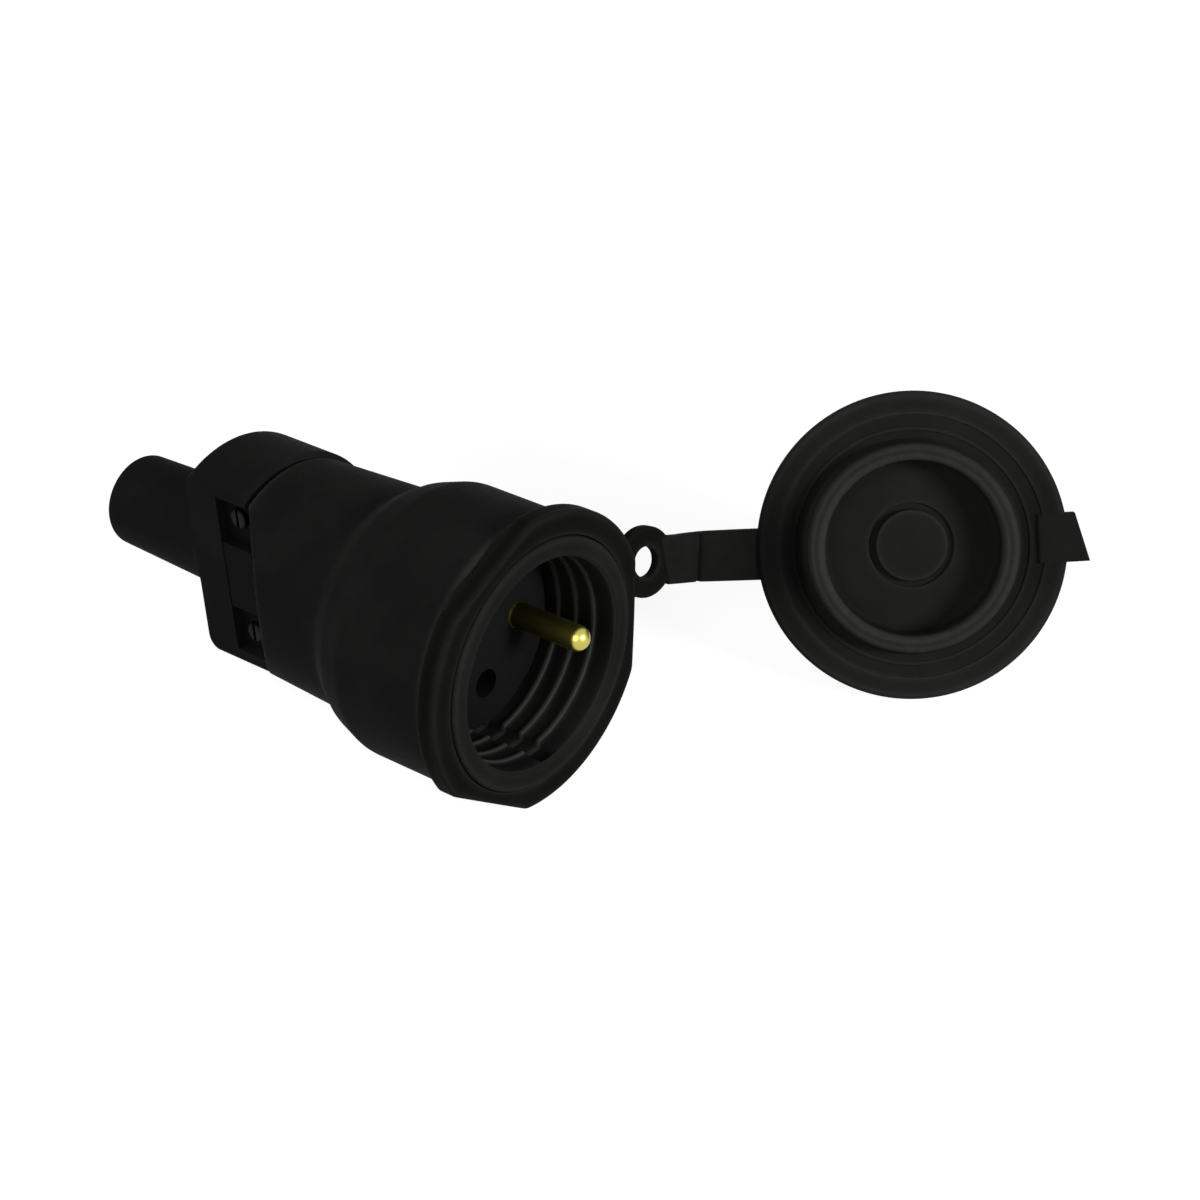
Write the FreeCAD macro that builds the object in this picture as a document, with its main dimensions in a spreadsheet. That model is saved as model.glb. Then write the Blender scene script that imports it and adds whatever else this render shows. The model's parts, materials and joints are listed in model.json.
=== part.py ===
import FreeCAD
import Part
import Sketcher
import math
import os

# Inline socket connector with a tethered sealing lid, lying on a flat surface.
# The socket frame has its origin at the centre of the mouth, X along the axis and out of the
# mouth, and Y towards the eyelet of the tether. A clock angle turns from Y towards Z.
# The core frame is the socket frame turned so that its Y points at the earth pin.

Vector = FreeCAD.Vector

SIZES = [
    ("earth_clock", -9.5, "clock angle of the earth pin, from the eyelet"),
    ("ring_clock", -17.0, "clock angle of the tether ring's first flat"),
    ("strap_clock", -7.7, "clock angle of the lid's strap when the lid is shut"),
    ("bore_radius", 19.9, "recess wall"),
    ("mouth_flare", 0.5, "edge of the mouth outside the recess wall"),
    ("mouth_lead", 0.6, "depth of the mouth's lead-in"),
    ("nose_wall", 3.2, "wall of the tube that carries the tether ring"),
    ("collar_step", 2.6, "front collar outside the tube"),
    ("collar_length", 20.7, "front collar, up to its shoulder"),
    ("shoulder_length", 5.3, "front part of the shoulder"),
    ("shoulder_rise", 2.75, "middle of the shoulder outside the body"),
    ("neck_length", 4.2, "rear part of the shoulder"),
    ("body_wall", 3.75, "wall of the body behind the shoulder"),
    ("tail_wall", 2.6, "wall at the rear end of the housing"),
    ("passage_radius", 8.8, "passage for the cord in the housing's rear web"),
    ("web_thickness", 5.2, "rear web of the housing"),
    ("web_slope", 5.0, "length over which the cavity narrows to the web"),
    ("terminal_room", 1.2, "room behind the terminal blocks"),
    ("shelf_width", 1.9, "shelf between the recess wall and the cavity for the carrier"),
    ("shelf_drop", 4.45, "bottom of the annular gap behind the recess floor"),
    ("collar_edge", 1.2, "rounding of the collar's front edge"),
    ("nose_edge", 0.8, "rounding of the mouth's outer edge"),
    ("shoulder_round", 5.0, "rounding of the shoulder"),
    ("rib_first", 5.2, "depth of the first rib in the recess"),
    ("rib_pitch", 4.15, "spacing of the ribs"),
    ("rib_height", 0.5, "height of a rib"),
    ("rib_foot", 1.3, "width of a rib at the wall"),
    ("rib_crest", 0.5, "width of a rib at its crest"),
    ("channel_width", 4.0, "axial channel through the ribs"),
    ("channel_depth", 1.0, "channel below the recess wall"),
    ("notch_length", 11.6, "rear facet on the body's side"),
    ("flat_margin", 0.4, "flat side of the rear cover outside the cable sleeve"),
    ("recess_depth", 14.75, "recess floor behind the mouth"),
    ("fit_gap", 0.1, "gap between pieces that fit into each other"),
    ("carrier_flange", 5.8, "thickness of the carrier's front disc"),
    ("carrier_radius", 14.6, "carrier block behind the disc"),
    ("carrier_length", 23.25, "carrier, from the recess floor to its rear face"),
    ("contact_offset", 9.5, "contact holes from the axis"),
    ("earth_offset", 10.0, "earth pin from the axis"),
    ("plug_pin_radius", 2.4, "pins of the plug, and the earth pin"),
    ("contact_play", 0.05, "play of a plug's pin in its contact tube"),
    ("entry_radius", 2.75, "contact holes in the recess floor"),
    ("entry_length", 4.15, "length of the contact holes"),
    ("tube_wall", 0.75, "wall of a contact tube"),
    ("tube_floor", 2.3, "end of a contact tube's bore in front of the contact's rear collar face"),
    ("tube_slot", 0.6, "slots that split the tube"),
    ("seat_radius", 3.9, "bore for a contact in the carrier"),
    ("contact_shoulder", 3.4, "length of the collar behind a tube"),
    ("stem_radius", 2.4, "stem through the back plate"),
    ("clip_wall", 0.5, "wall of a spring ring"),
    ("clip_length", 5.0, "length of a spring ring"),
    ("clip_setback", 2.0, "spring ring behind the tube's front end"),
    ("clip_slit", 1.2, "slit of a spring ring"),
    ("back_gap", 0.2, "gap between stacked inner pieces"),
    ("back_thickness", 3.6, "carrier back plate"),
    ("back_play", 0.6, "room round the carrier back plate"),
    ("block_width", 6.4, "terminal block"),
    ("block_length", 6.8, "terminal block"),
    ("wire_hole", 1.5, "wire hole of a terminal block"),
    ("terminal_screw", 1.25, "shank of a terminal screw"),
    ("terminal_head", 2.1, "head of a terminal screw"),
    ("terminal_head_height", 1.6, "head of a terminal screw"),
    ("earth_dome_setback", 0.9, "centre of the earth pin's domed tip behind the mouth"),
    ("earth_root_radius", 2.7, "earth pin where it passes through the carrier"),
    ("earth_neck", 9.45, "collar of the earth pin, behind the recess floor"),
    ("carrier_screw_pitch_radius", 11.5, "carrier screws from the axis"),
    ("carrier_screw_clock", 138.0, "carrier screws, from the earth pin"),
    ("carrier_screw_radius", 1.4, "shank of a carrier screw"),
    ("carrier_screw_length", 12.0, "shank of a carrier screw"),
    ("small_head", 2.6, "head of a carrier screw"),
    ("small_head_height", 1.6, "head of a carrier screw"),
    ("assembly_pitch_radius", 14.9, "assembly screws from the axis"),
    ("assembly_clock", 50.5, "assembly screws, from the earth pin"),
    ("assembly_radius", 1.6, "shank of an assembly screw"),
    ("assembly_head", 2.9, "head of an assembly screw"),
    ("assembly_head_height", 2.4, "head of an assembly screw"),
    ("assembly_recess", 4.2, "counterbore of an assembly screw"),
    ("hole_play", 0.25, "play round a screw"),
    ("cover_gap", 1.0, "gap between housing and rear cover, filled by the gasket"),
    ("cover_step", 1.0, "rear cover outside the housing's rear end"),
    ("cover_length", 15.8, "rear cover"),
    ("cover_edge", 2.4, "rounding of the cover's rear edge"),
    ("sleeve_wall", 1.7, "wall of the cable sleeve at its end"),
    ("sleeve_taper", 0.8, "cable sleeve at the cover outside its end"),
    ("sleeve_length", 26.6, "cable sleeve behind the cover"),
    ("sleeve_edge", 1.4, "rounding of the sleeve's end"),
    ("sleeve_fillet", 1.5, "fillet between sleeve and cover"),
    ("cable_radius", 5.4, "bore of the cable sleeve"),
    ("grommet_radius", 7.2, "outside of the cable grommet"),
    ("grommet_bore", 4.6, "bore of the cable grommet"),
    ("grommet_length", 7.0, "length of the cable grommet"),
    ("gasket_inset", 2.4, "cover gasket inside the rear cover's outline"),
    ("gasket_inner", 7.4, "cover gasket"),
    ("gasket_flat_inset", 1.0, "cover gasket inside the flat side"),
    ("clamp_setback", 4.1, "clamp screws behind the rear cover's front face"),
    ("clamp_reach", 12.5, "clamp screws from the middle of the flat"),
    ("clamp_length", 7.4, "clamp plate along the axis"),
    ("clamp_width", 33.0, "clamp plate across the flat"),
    ("clamp_thickness", 2.0, "ears of the clamp plate"),
    ("clamp_sunk", 2.4, "ears of the clamp plate below the flat"),
    ("clamp_play", 0.2, "gap round the clamp plate"),
    ("bridge_width", 14.0, "raised middle of the clamp plate, across the flat"),
    ("bridge_sunk", 0.1, "raised middle of the clamp plate below the flat"),
    ("saddle_length", 4.6, "pressure bar of the clamp plate"),
    ("saddle_width", 8.6, "pressure bar of the clamp plate"),
    ("saddle_tip", 4.6, "end of the pressure bar, from the axis"),
    ("clamp_screw_radius", 1.3, "shank of a clamp screw"),
    ("clamp_screw_length", 11.0, "shank of a clamp screw"),
    ("clamp_head", 2.0, "head of a clamp screw"),
    ("clamp_head_height", 1.2, "head of a clamp screw"),
    ("ring_front", 0.6, "front face of the tether ring, behind the mouth"),
    ("ring_thickness", 4.0, "tether ring"),
    ("ring_wall", 4.6, "wall of the tether ring"),
    ("ring_cut", 2.3, "depth of the tether ring's flats"),
    ("ring_play", 0.2, "gap between tether ring and nose"),
    ("ring_corner", 6.0, "rounding where the ring's flats end"),
    ("ring_edge", 0.7, "rounding of the tether ring"),
    ("eyelet_reach", 2.5, "centre of the eyelet outside the tether ring"),
    ("eyelet_depth", 1.0, "eyelet's front face behind the mouth"),
    ("eyelet_radius", 6.6, "eyelet"),
    ("eyelet_hole", 2.9, "hole of the eyelet"),
    ("strap_width", 9.4, "strap"),
    ("strap_thickness", 2.1, "strap"),
    ("strap_drop", 0.1, "outside of the strap below the lid's outer face"),
    ("strap_reach", 12.2, "fold of the strap outside the tether ring"),
    ("fold_height", 1.0, "fold of the strap in front of the mouth"),
    ("fold_gap", 0.15, "half the gap at the fold"),
    ("fold_skew", 0.1186, "lean of the fold line along the strap"),
    ("fold_tilt", -0.233, "lean of the fold line along the socket's axis"),
    ("open_angle", 131.0, "how far the lid stands open"),
    ("lid_gap", 0.55, "gap between the shut lid and the mouth"),
    ("lid_radius", 28.4, "lid"),
    ("lid_flange", 2.8, "thickness of the lid's flange"),
    ("lid_edge", 0.9, "rounding of the lid's rim"),
    ("crown_inset", 6.9, "raised middle of the lid's outside, inside the rim"),
    ("crown_height", 1.6, "raised middle of the lid's outside"),
    ("lip_play", 0.6, "room round the mouth's lip inside the shut lid's rim"),
    ("rim_step", 0.35, "rim of the lid in front of the groove for the mouth's lip"),
    ("plug_play", 0.1, "gap between the plug ring's root and the recess wall"),
    ("plug_taper", 0.8, "taper of the plug ring"),
    ("plug_height", 4.3, "plug ring"),
    ("plug_wall", 3.7, "wall of the plug ring at its root"),
    ("plug_bevel", 0.7, "bevel of the plug ring's inner edge"),
    ("hollow_depth", 2.3, "floor of the lid's hollow, behind the flange's inner face"),
    ("boss_radius", 6.6, "boss in the lid's hollow"),
    ("boss_height", 0.8, "boss in the lid's hollow"),
    ("groove_width", 1.2, "groove round the boss"),
    ("groove_depth", 0.6, "groove round the boss"),
    ("tab_length", 3.8, "pull tab outside the lid's rim"),
    ("tab_width", 9.0, "pull tab"),
    ("tab_thickness", 2.2, "pull tab"),
    ("tab_slant", 2.4, "slant of the pull tab's end"),
]

doc = FreeCAD.newDocument("connector")
sheet = doc.addObject("Spreadsheet::Sheet", "Sizes")
for row, (alias, value, note) in enumerate(SIZES, start=1):
    sheet.set("A%d" % row, str(value))
    sheet.setAlias("A%d" % row, alias)
    sheet.set("B%d" % row, note)
doc.recompute()


class Size:
    """A number together with the sheet expression that gives it."""

    def __init__(self, value, text=None):
        self.value = float(value)
        self.text = text if text is not None else "(%.9g)" % value

    def _join(self, other, sign, value):
        return Size(value, "(%s %s %s)" % (self.text, sign, other.text))

    def __add__(self, other):
        other = as_size(other)
        return self._join(other, "+", self.value + other.value)

    def __sub__(self, other):
        other = as_size(other)
        return self._join(other, "-", self.value - other.value)

    def __mul__(self, other):
        other = as_size(other)
        return self._join(other, "*", self.value * other.value)

    def __truediv__(self, other):
        other = as_size(other)
        return self._join(other, "/", self.value / other.value)

    def __neg__(self):
        return Size(-self.value, "(0 - %s)" % self.text)


def as_size(number):
    return number if isinstance(number, Size) else Size(number)


class SheetSizes:
    """Reads every alias of the sheet as a Size."""

    def __init__(self):
        for alias, _value, _note in SIZES:
            setattr(self, alias, Size(float(sheet.get(alias)), "Sizes." + alias))


s = SheetSizes()

# Depths behind the mouth that follow from the named lengths
s.collar_front = s.ring_front + s.ring_thickness + s.ring_play
s.collar_back = s.collar_front + s.collar_length
s.shoulder_depth = s.collar_back + s.shoulder_length
s.neck_depth = s.shoulder_depth + s.neck_length
s.shelf_depth = s.recess_depth + s.shelf_drop
s.carrier_depth = s.recess_depth + s.carrier_length
s.back_front = s.carrier_depth + s.back_gap
s.block_front = s.back_front + s.back_thickness + s.back_gap
s.cavity_depth = s.block_front + s.block_length + s.terminal_room
s.web_depth = s.cavity_depth + s.web_slope
s.housing_depth = s.web_depth + s.web_thickness
s.notch_depth = s.housing_depth - s.notch_length
s.cover_front = s.housing_depth + s.cover_gap
s.cover_depth = s.cover_front + s.cover_length
s.sleeve_depth = s.cover_depth + s.sleeve_length
s.clamp_depth = s.cover_front + s.clamp_setback
s.earth_shoulder_depth = s.recess_depth + s.earth_neck
s.contact_front = s.recess_depth + s.entry_length + s.back_gap
s.contact_rear = s.carrier_depth - s.back_gap
s.tube_length = s.contact_rear - s.tube_floor - s.contact_front

# Radii that follow from the named walls and clearances
s.mouth_radius = s.bore_radius + s.mouth_flare
s.nose_radius = s.mouth_radius + s.nose_wall
s.collar_radius = s.nose_radius + s.collar_step
s.cavity_radius = s.bore_radius - s.shelf_width
s.neck_radius = s.cavity_radius + s.body_wall
s.shoulder_radius = s.neck_radius + s.shoulder_rise
s.tail_radius = s.cavity_radius + s.tail_wall
s.cover_radius = s.tail_radius + s.cover_step
s.sleeve_end_radius = s.grommet_radius + s.fit_gap + s.sleeve_wall
s.sleeve_root_radius = s.sleeve_end_radius + s.sleeve_taper
s.flat_distance = s.sleeve_root_radius + s.flat_margin
s.back_radius = s.cavity_radius - s.back_play
s.gasket_outer = s.cover_radius - s.gasket_inset
s.gasket_flat = s.flat_distance - s.gasket_flat_inset
s.ring_radius = s.nose_radius + s.ring_play + s.ring_wall
s.ring_flat = s.ring_radius - s.ring_cut
s.eyelet_offset = s.ring_radius + s.eyelet_reach
s.fold_reach = s.ring_radius + s.strap_reach
s.crown_radius = s.lid_radius - s.crown_inset
s.tab_reach = s.lid_radius + s.tab_length
s.plug_root_radius = s.bore_radius - s.plug_play
s.plug_tip_radius = s.plug_root_radius - s.plug_taper
s.plug_inner_radius = s.plug_root_radius - s.plug_wall


# Frames

def unit(vector):
    return Vector(vector) / vector.Length


def clock_direction(degrees):
    angle = math.radians(degrees)
    return Vector(0, math.cos(angle), math.sin(angle))


def clock_turn(degrees, base=Vector(0, 0, 0)):
    return FreeCAD.Placement(base, FreeCAD.Rotation(Vector(1, 0, 0), degrees))


def frame_of(x_axis, y_axis, z_axis, base):
    """The placement that takes the local axes to these three directions."""
    matrix = FreeCAD.Matrix(x_axis.x, y_axis.x, z_axis.x, base.x,
                            x_axis.y, y_axis.y, z_axis.y, base.y,
                            x_axis.z, y_axis.z, z_axis.z, base.z,
                            0, 0, 0, 1)
    return FreeCAD.Placement(matrix)


X_AXIS = Vector(1, 0, 0)

# The fold: the line about which the strap bends, along its inner surface.
strap_direction = clock_direction(s.strap_clock.value)
strap_across = clock_direction(s.strap_clock.value + 90)
fold_point = X_AXIS * s.fold_height.value + strap_direction * s.fold_reach.value
fold_line = unit(strap_across + X_AXIS * s.fold_tilt.value + strap_direction * s.fold_skew.value)
opening = FreeCAD.Placement(Vector(0, 0, 0),
                            FreeCAD.Rotation(fold_line, s.open_angle.value), fold_point)

# The eyelet's plane holds the fold line and the centre of the eyelet's front face.
eyelet_centre = Vector(-s.eyelet_depth.value, s.eyelet_offset.value, 0)
to_fold = fold_point - eyelet_centre
tether_out = unit(to_fold - fold_line * to_fold.dot(fold_line))
tether_front = unit(tether_out.cross(fold_line))
tether_frame = frame_of(tether_out, fold_line, tether_front, fold_point)


def ring_support(up):
    """Height of the tether ring's lowest point, on its rounded rear edge."""
    edge = s.ring_edge.value
    depth = s.ring_front.value + s.ring_thickness.value - edge
    return -depth * up.x - (s.ring_radius.value - edge) * math.hypot(up.y, up.z) - edge


def cover_support(up):
    """Height of the rear cover's lowest point, on its rounded rear edge."""
    edge = s.cover_edge.value
    depth = s.cover_depth.value - edge
    return -depth * up.x - (s.cover_radius.value - edge) * math.hypot(up.y, up.z) - edge


def lid_support(up):
    """Height of the open lid's lowest point, on its rounded rim."""
    edge = s.lid_edge.value
    normal = opening.Rotation.multVec(X_AXIS)
    lean = math.sqrt(1 - normal.dot(up) ** 2)
    heights = []
    inner = s.lid_gap.value - s.rim_step.value
    for depth in (inner + edge, s.lid_gap.value + s.lid_flange.value - edge):
        centre = opening.multVec(X_AXIS * depth)
        heights.append(centre.dot(up) - (s.lid_radius.value - edge) * lean - edge)
    return min(heights)


def bisect(function, low, high):
    """The value between low and high at which the function changes its sign."""
    low_sign = function(low) > 0
    for _step in range(60):
        middle = (low + high) / 2
        if (function(middle) > 0) == low_sign:
            low = middle
        else:
            high = middle
    return (low + high) / 2


def up_from(pitch, down_clock):
    lean = math.radians(pitch)
    return X_AXIS * math.sin(lean) - clock_direction(down_clock) * math.cos(lean)


def resting_up():
    """The upward direction in the socket frame when ring, rear cover and lid touch the ground."""
    pitch = bisect(lambda angle: ring_support(up_from(angle, -90))
                   - cover_support(up_from(angle, -90)), 0.0, 20.0)
    down = bisect(lambda clock: lid_support(up_from(pitch, clock))
                  - ring_support(up_from(pitch, clock)), -120.0, -60.0)
    return up_from(pitch, down)


up = resting_up()
ahead = unit(X_AXIS - up * X_AXIS.dot(up))
aside = up.cross(ahead)
lying = frame_of(ahead, aside, up, Vector(0, 0, 0)).inverse()
core = lying.multiply(clock_turn(s.earth_clock.value))


# Helpers for bodies and sketches

def new_body(label, placement):
    body = doc.addObject("PartDesign::Body", label)
    body.Label = label
    body.Placement = placement
    return body


def new_sketch(body, plane, offset=None):
    sketch = body.newObject("Sketcher::SketchObject", body.Label + "_sketch")
    origin = [item for item in body.Origin.OriginFeatures if item.Role == plane][0]
    sketch.AttachmentSupport = [(origin, "")]
    sketch.MapMode = "FlatFace"
    if offset is not None:
        sketch.setExpression("AttachmentOffset.Base.z", offset.text)
    return sketch


def pin_point(sketch, geometry, place, x, y):
    """Ties a point of the sketch to two sizes."""
    for kind, size in (("DistanceX", x), ("DistanceY", y)):
        index = sketch.addConstraint(
            Sketcher.Constraint(kind, -1, 1, geometry, place, size.value))
        sketch.setExpression("Constraints[%d]" % index, size.text)


def add_polygon(sketch, corners):
    """Draws a closed outline through corners, each given as two sizes."""
    corners = [(as_size(x), as_size(y)) for x, y in corners]
    lines = []
    for here, there in zip(corners, corners[1:] + corners[:1]):
        lines.append(sketch.addGeometry(Part.LineSegment(
            Vector(here[0].value, here[1].value, 0), Vector(there[0].value, there[1].value, 0))))
    for line, following in zip(lines, lines[1:] + lines[:1]):
        sketch.addConstraint(Sketcher.Constraint("Coincident", line, 2, following, 1))
    for line, (x, y) in zip(lines, corners):
        pin_point(sketch, line, 1, x, y)


def add_rectangle(sketch, left, right, low, high):
    add_polygon(sketch, [(left, low), (right, low), (right, high), (left, high)])


def add_circle(sketch, x, y, radius):
    x, y = as_size(x), as_size(y)
    circle = sketch.addGeometry(
        Part.Circle(Vector(x.value, y.value, 0), Vector(0, 0, 1), radius.value))
    pin_point(sketch, circle, 3, x, y)
    index = sketch.addConstraint(Sketcher.Constraint("Radius", circle, radius.value))
    sketch.setExpression("Constraints[%d]" % index, radius.text)


def polar(radius, clock):
    """Sizes of the point at this radius and clock angle."""
    x = Size(radius.value * math.cos(math.radians(clock.value)),
             "(%s * cos(%s * 1deg))" % (radius.text, clock.text))
    y = Size(radius.value * math.sin(math.radians(clock.value)),
             "(%s * sin(%s * 1deg))" % (radius.text, clock.text))
    return x, y


def turn_about_x(body, kind, corner_lists):
    """A revolution or groove of outlines in the XY plane, about X."""
    sketch = new_sketch(body, "XY_Plane")
    for corners in corner_lists:
        add_polygon(sketch, corners)
    feature = body.newObject("PartDesign::" + kind, body.Label + "_turned")
    feature.Profile = sketch
    feature.ReferenceAxis = (sketch, ["H_Axis"])
    feature.Angle = 360
    doc.recompute()
    return feature


def extrude(body, kind, sketch, length=None, reverse=False, both=False):
    """A pad along the sketch's normal, or a pocket against it."""
    feature = body.newObject("PartDesign::" + kind, body.Label + "_" + kind.lower())
    feature.Profile = sketch
    if length is None:
        feature.Type = "ThroughAll"
    else:
        feature.setExpression("Length", length.text)
    feature.Reversed = reverse
    feature.Midplane = both
    doc.recompute()
    return feature


def round_edges(body, radius, wanted):
    """Rounds the edges of the body's tip that the test picks."""
    tip = body.Tip
    names = ["Edge%d" % (number + 1) for number, edge in enumerate(tip.Shape.Edges) if wanted(edge)]
    if not names:
        raise RuntimeError("no edge to round on " + body.Label)
    fillet = body.newObject("PartDesign::Fillet", body.Label + "_rounded")
    fillet.Base = (tip, names)
    fillet.setExpression("Radius", radius.text)
    doc.recompute()
    return fillet


def ring_edge_at(depth, radius):
    """Picks circular edges about X at this depth behind the mouth, of this radius."""
    def test(edge):
        curve = edge.Curve
        if not isinstance(curve, Part.Circle):
            return False
        near = abs(curve.Center.x + depth.value) < 0.02
        return near and abs(curve.Radius - radius.value) < 0.02
    return test


# Housing: the rubber shell with mouth, ribbed recess, collar and tapered body

def make_housing():
    body = new_body("housing", core)
    turn_about_x(body, "Revolution", [[
        (0, s.mouth_radius),
        (0, s.nose_radius),
        (-s.collar_front, s.nose_radius),
        (-s.collar_front, s.collar_radius),
        (-s.collar_back, s.collar_radius),
        (-s.shoulder_depth, s.shoulder_radius),
        (-s.neck_depth, s.neck_radius),
        (-s.housing_depth, s.tail_radius),
        (-s.housing_depth, s.passage_radius),
        (-s.web_depth, s.passage_radius),
        (-s.cavity_depth, s.cavity_radius),
        (-s.shelf_depth, s.cavity_radius),
        (-s.shelf_depth, s.bore_radius),
        (-s.mouth_lead, s.bore_radius),
    ]])
    round_edges(body, s.nose_edge, ring_edge_at(Size(0), s.nose_radius))
    round_edges(body, s.collar_edge, ring_edge_at(s.collar_front, s.collar_radius))
    round_edges(body, s.shoulder_round, lambda edge: (
        ring_edge_at(s.collar_back, s.collar_radius)(edge)
        or ring_edge_at(s.shoulder_depth, s.shoulder_radius)(edge)))
    rib_base = s.bore_radius + s.rib_height / 5
    rib_crest = s.bore_radius - s.rib_height
    ribs = []
    for number in range(4):
        middle = -s.rib_first - s.rib_pitch * number
        ribs.append([
            (middle + s.rib_foot / 2, rib_base),
            (middle + s.rib_crest / 2, rib_crest),
            (middle - s.rib_crest / 2, rib_crest),
            (middle - s.rib_foot / 2, rib_base),
        ])
    turn_about_x(body, "Revolution", ribs)
    channels = new_sketch(body, "YZ_Plane", -s.shelf_depth)
    half = s.channel_width / 2
    bottom = s.bore_radius + s.channel_depth
    for side in (1, -1):
        add_rectangle(channels, -half, half, (rib_crest - 1) * side, bottom * side)
    extrude(body, "Pocket", channels, s.shelf_depth - s.mouth_lead, reverse=True)
    facet = new_sketch(body, "XY_Plane")
    outside = -(s.tail_radius + s.rib_foot)
    add_polygon(facet, [
        (-s.housing_depth, -s.flat_distance),
        (-s.notch_depth, outside),
        (-s.housing_depth, outside),
    ])
    extrude(body, "Pocket", facet, both=True)
    holes = new_sketch(body, "YZ_Plane", -s.housing_depth)
    for side in (1, -1):
        add_circle(holes, *polar(s.assembly_pitch_radius, s.assembly_clock * side),
                   s.assembly_radius + s.hole_play)
    extrude(body, "Pocket", holes, s.housing_depth - s.cavity_depth + 2, reverse=True)
    return body


# Contact carrier: the insulating insert whose front is the recess floor

def make_contact_carrier():
    body = new_body("contact_carrier", core)
    disc_radius = s.cavity_radius - s.fit_gap
    turn_about_x(body, "Revolution", [[
        (-s.recess_depth, 0),
        (-s.recess_depth, disc_radius),
        (-s.recess_depth - s.carrier_flange, disc_radius),
        (-s.recess_depth - s.carrier_flange, s.carrier_radius),
        (-s.carrier_depth, s.carrier_radius),
        (-s.carrier_depth, 0),
    ]])
    round_edges(body, s.nose_edge, ring_edge_at(s.recess_depth, disc_radius))
    entries = new_sketch(body, "YZ_Plane", -s.recess_depth)
    for side in (1, -1):
        add_circle(entries, 0, s.contact_offset * side, s.entry_radius)
    add_circle(entries, s.earth_offset, 0, s.earth_root_radius + s.fit_gap)
    extrude(body, "Pocket", entries)
    seats = new_sketch(body, "YZ_Plane", -s.carrier_depth)
    for side in (1, -1):
        add_circle(seats, 0, s.contact_offset * side, s.seat_radius)
    extrude(body, "Pocket", seats, s.carrier_depth - s.recess_depth - s.entry_length, reverse=True)
    earth_seat = new_sketch(body, "YZ_Plane", -s.carrier_depth)
    add_circle(earth_seat, s.earth_offset, 0, s.seat_radius)
    extrude(body, "Pocket", earth_seat, s.carrier_depth - s.earth_shoulder_depth, reverse=True)
    screws = new_sketch(body, "YZ_Plane", -s.carrier_depth)
    for side in (1, -1):
        add_circle(screws, *polar(s.carrier_screw_pitch_radius, s.carrier_screw_clock * side),
                   s.carrier_screw_radius + s.fit_gap)
    extrude(body, "Pocket", screws, s.carrier_screw_length, reverse=True)
    return body


# Carrier back plate, screwed to the carrier behind the contacts

def make_carrier_back():
    body = new_body("carrier_back", core)
    front = s.back_front
    turn_about_x(body, "Revolution", [[
        (-front, 0),
        (-front, s.back_radius),
        (-front - s.back_thickness, s.back_radius),
        (-front - s.back_thickness, 0),
    ]])
    holes = new_sketch(body, "YZ_Plane", -front)
    for side in (1, -1):
        add_circle(holes, 0, s.contact_offset * side, s.stem_radius + s.fit_gap)
        add_circle(holes, *polar(s.carrier_screw_pitch_radius, s.carrier_screw_clock * side),
                   s.carrier_screw_radius + s.hole_play)
        add_circle(holes, *polar(s.assembly_pitch_radius, s.assembly_clock * side),
                   s.assembly_radius + s.fit_gap)
    add_circle(holes, s.earth_offset, 0, s.stem_radius + s.fit_gap)
    extrude(body, "Pocket", holes)
    return body


# Contacts: a pin or split tube in front, a stem and a terminal block behind

def add_terminal_block(body, direction):
    """A square block behind the stem, with a wire hole and a screw hole towards direction."""
    half = s.block_width / 2
    block = new_sketch(body, "YZ_Plane", -s.block_front)
    add_rectangle(block, -half, half, -half, half)
    extrude(body, "Pad", block, s.block_length, reverse=True)
    wire = new_sketch(body, "YZ_Plane", -s.block_front - s.block_length)
    add_circle(wire, 0, 0, s.wire_hole)
    extrude(body, "Pocket", wire, s.block_length - s.wire_hole, reverse=True)
    plane = "XY_Plane" if direction.z else "XZ_Plane"
    screw = new_sketch(body, plane)
    add_circle(screw, -s.block_front - s.block_length / 2, 0, s.terminal_screw + s.fit_gap)
    outward = direction.z > 0 or direction.y < 0
    extrude(body, "Pocket", screw, s.block_width, reverse=outward)


def make_tube_contact(label, side):
    place = core.multiply(FreeCAD.Placement(
        Vector(0, 0, s.contact_offset.value * side), FreeCAD.Rotation()))
    body = new_body(label, place)
    front = s.contact_front
    bore = s.plug_pin_radius + s.contact_play
    outside = bore + s.tube_wall
    shoulder = s.seat_radius - s.fit_gap
    rear = s.contact_rear
    turn_about_x(body, "Revolution", [[
        (-front, bore),
        (-front, outside),
        (-rear + s.contact_shoulder, outside),
        (-rear + s.contact_shoulder, shoulder),
        (-rear, shoulder),
        (-rear, s.stem_radius),
        (-s.block_front, s.stem_radius),
        (-s.block_front, 0),
        (-front - s.tube_length, 0),
        (-front - s.tube_length, bore),
    ]])
    slots = new_sketch(body, "YZ_Plane", -front)
    half = s.tube_slot / 2
    add_rectangle(slots, -half, half, -outside - 1, outside + 1)
    extrude(body, "Pocket", slots, s.tube_length * 0.7)
    add_terminal_block(body, Vector(0, 0, side))
    return body


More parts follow.
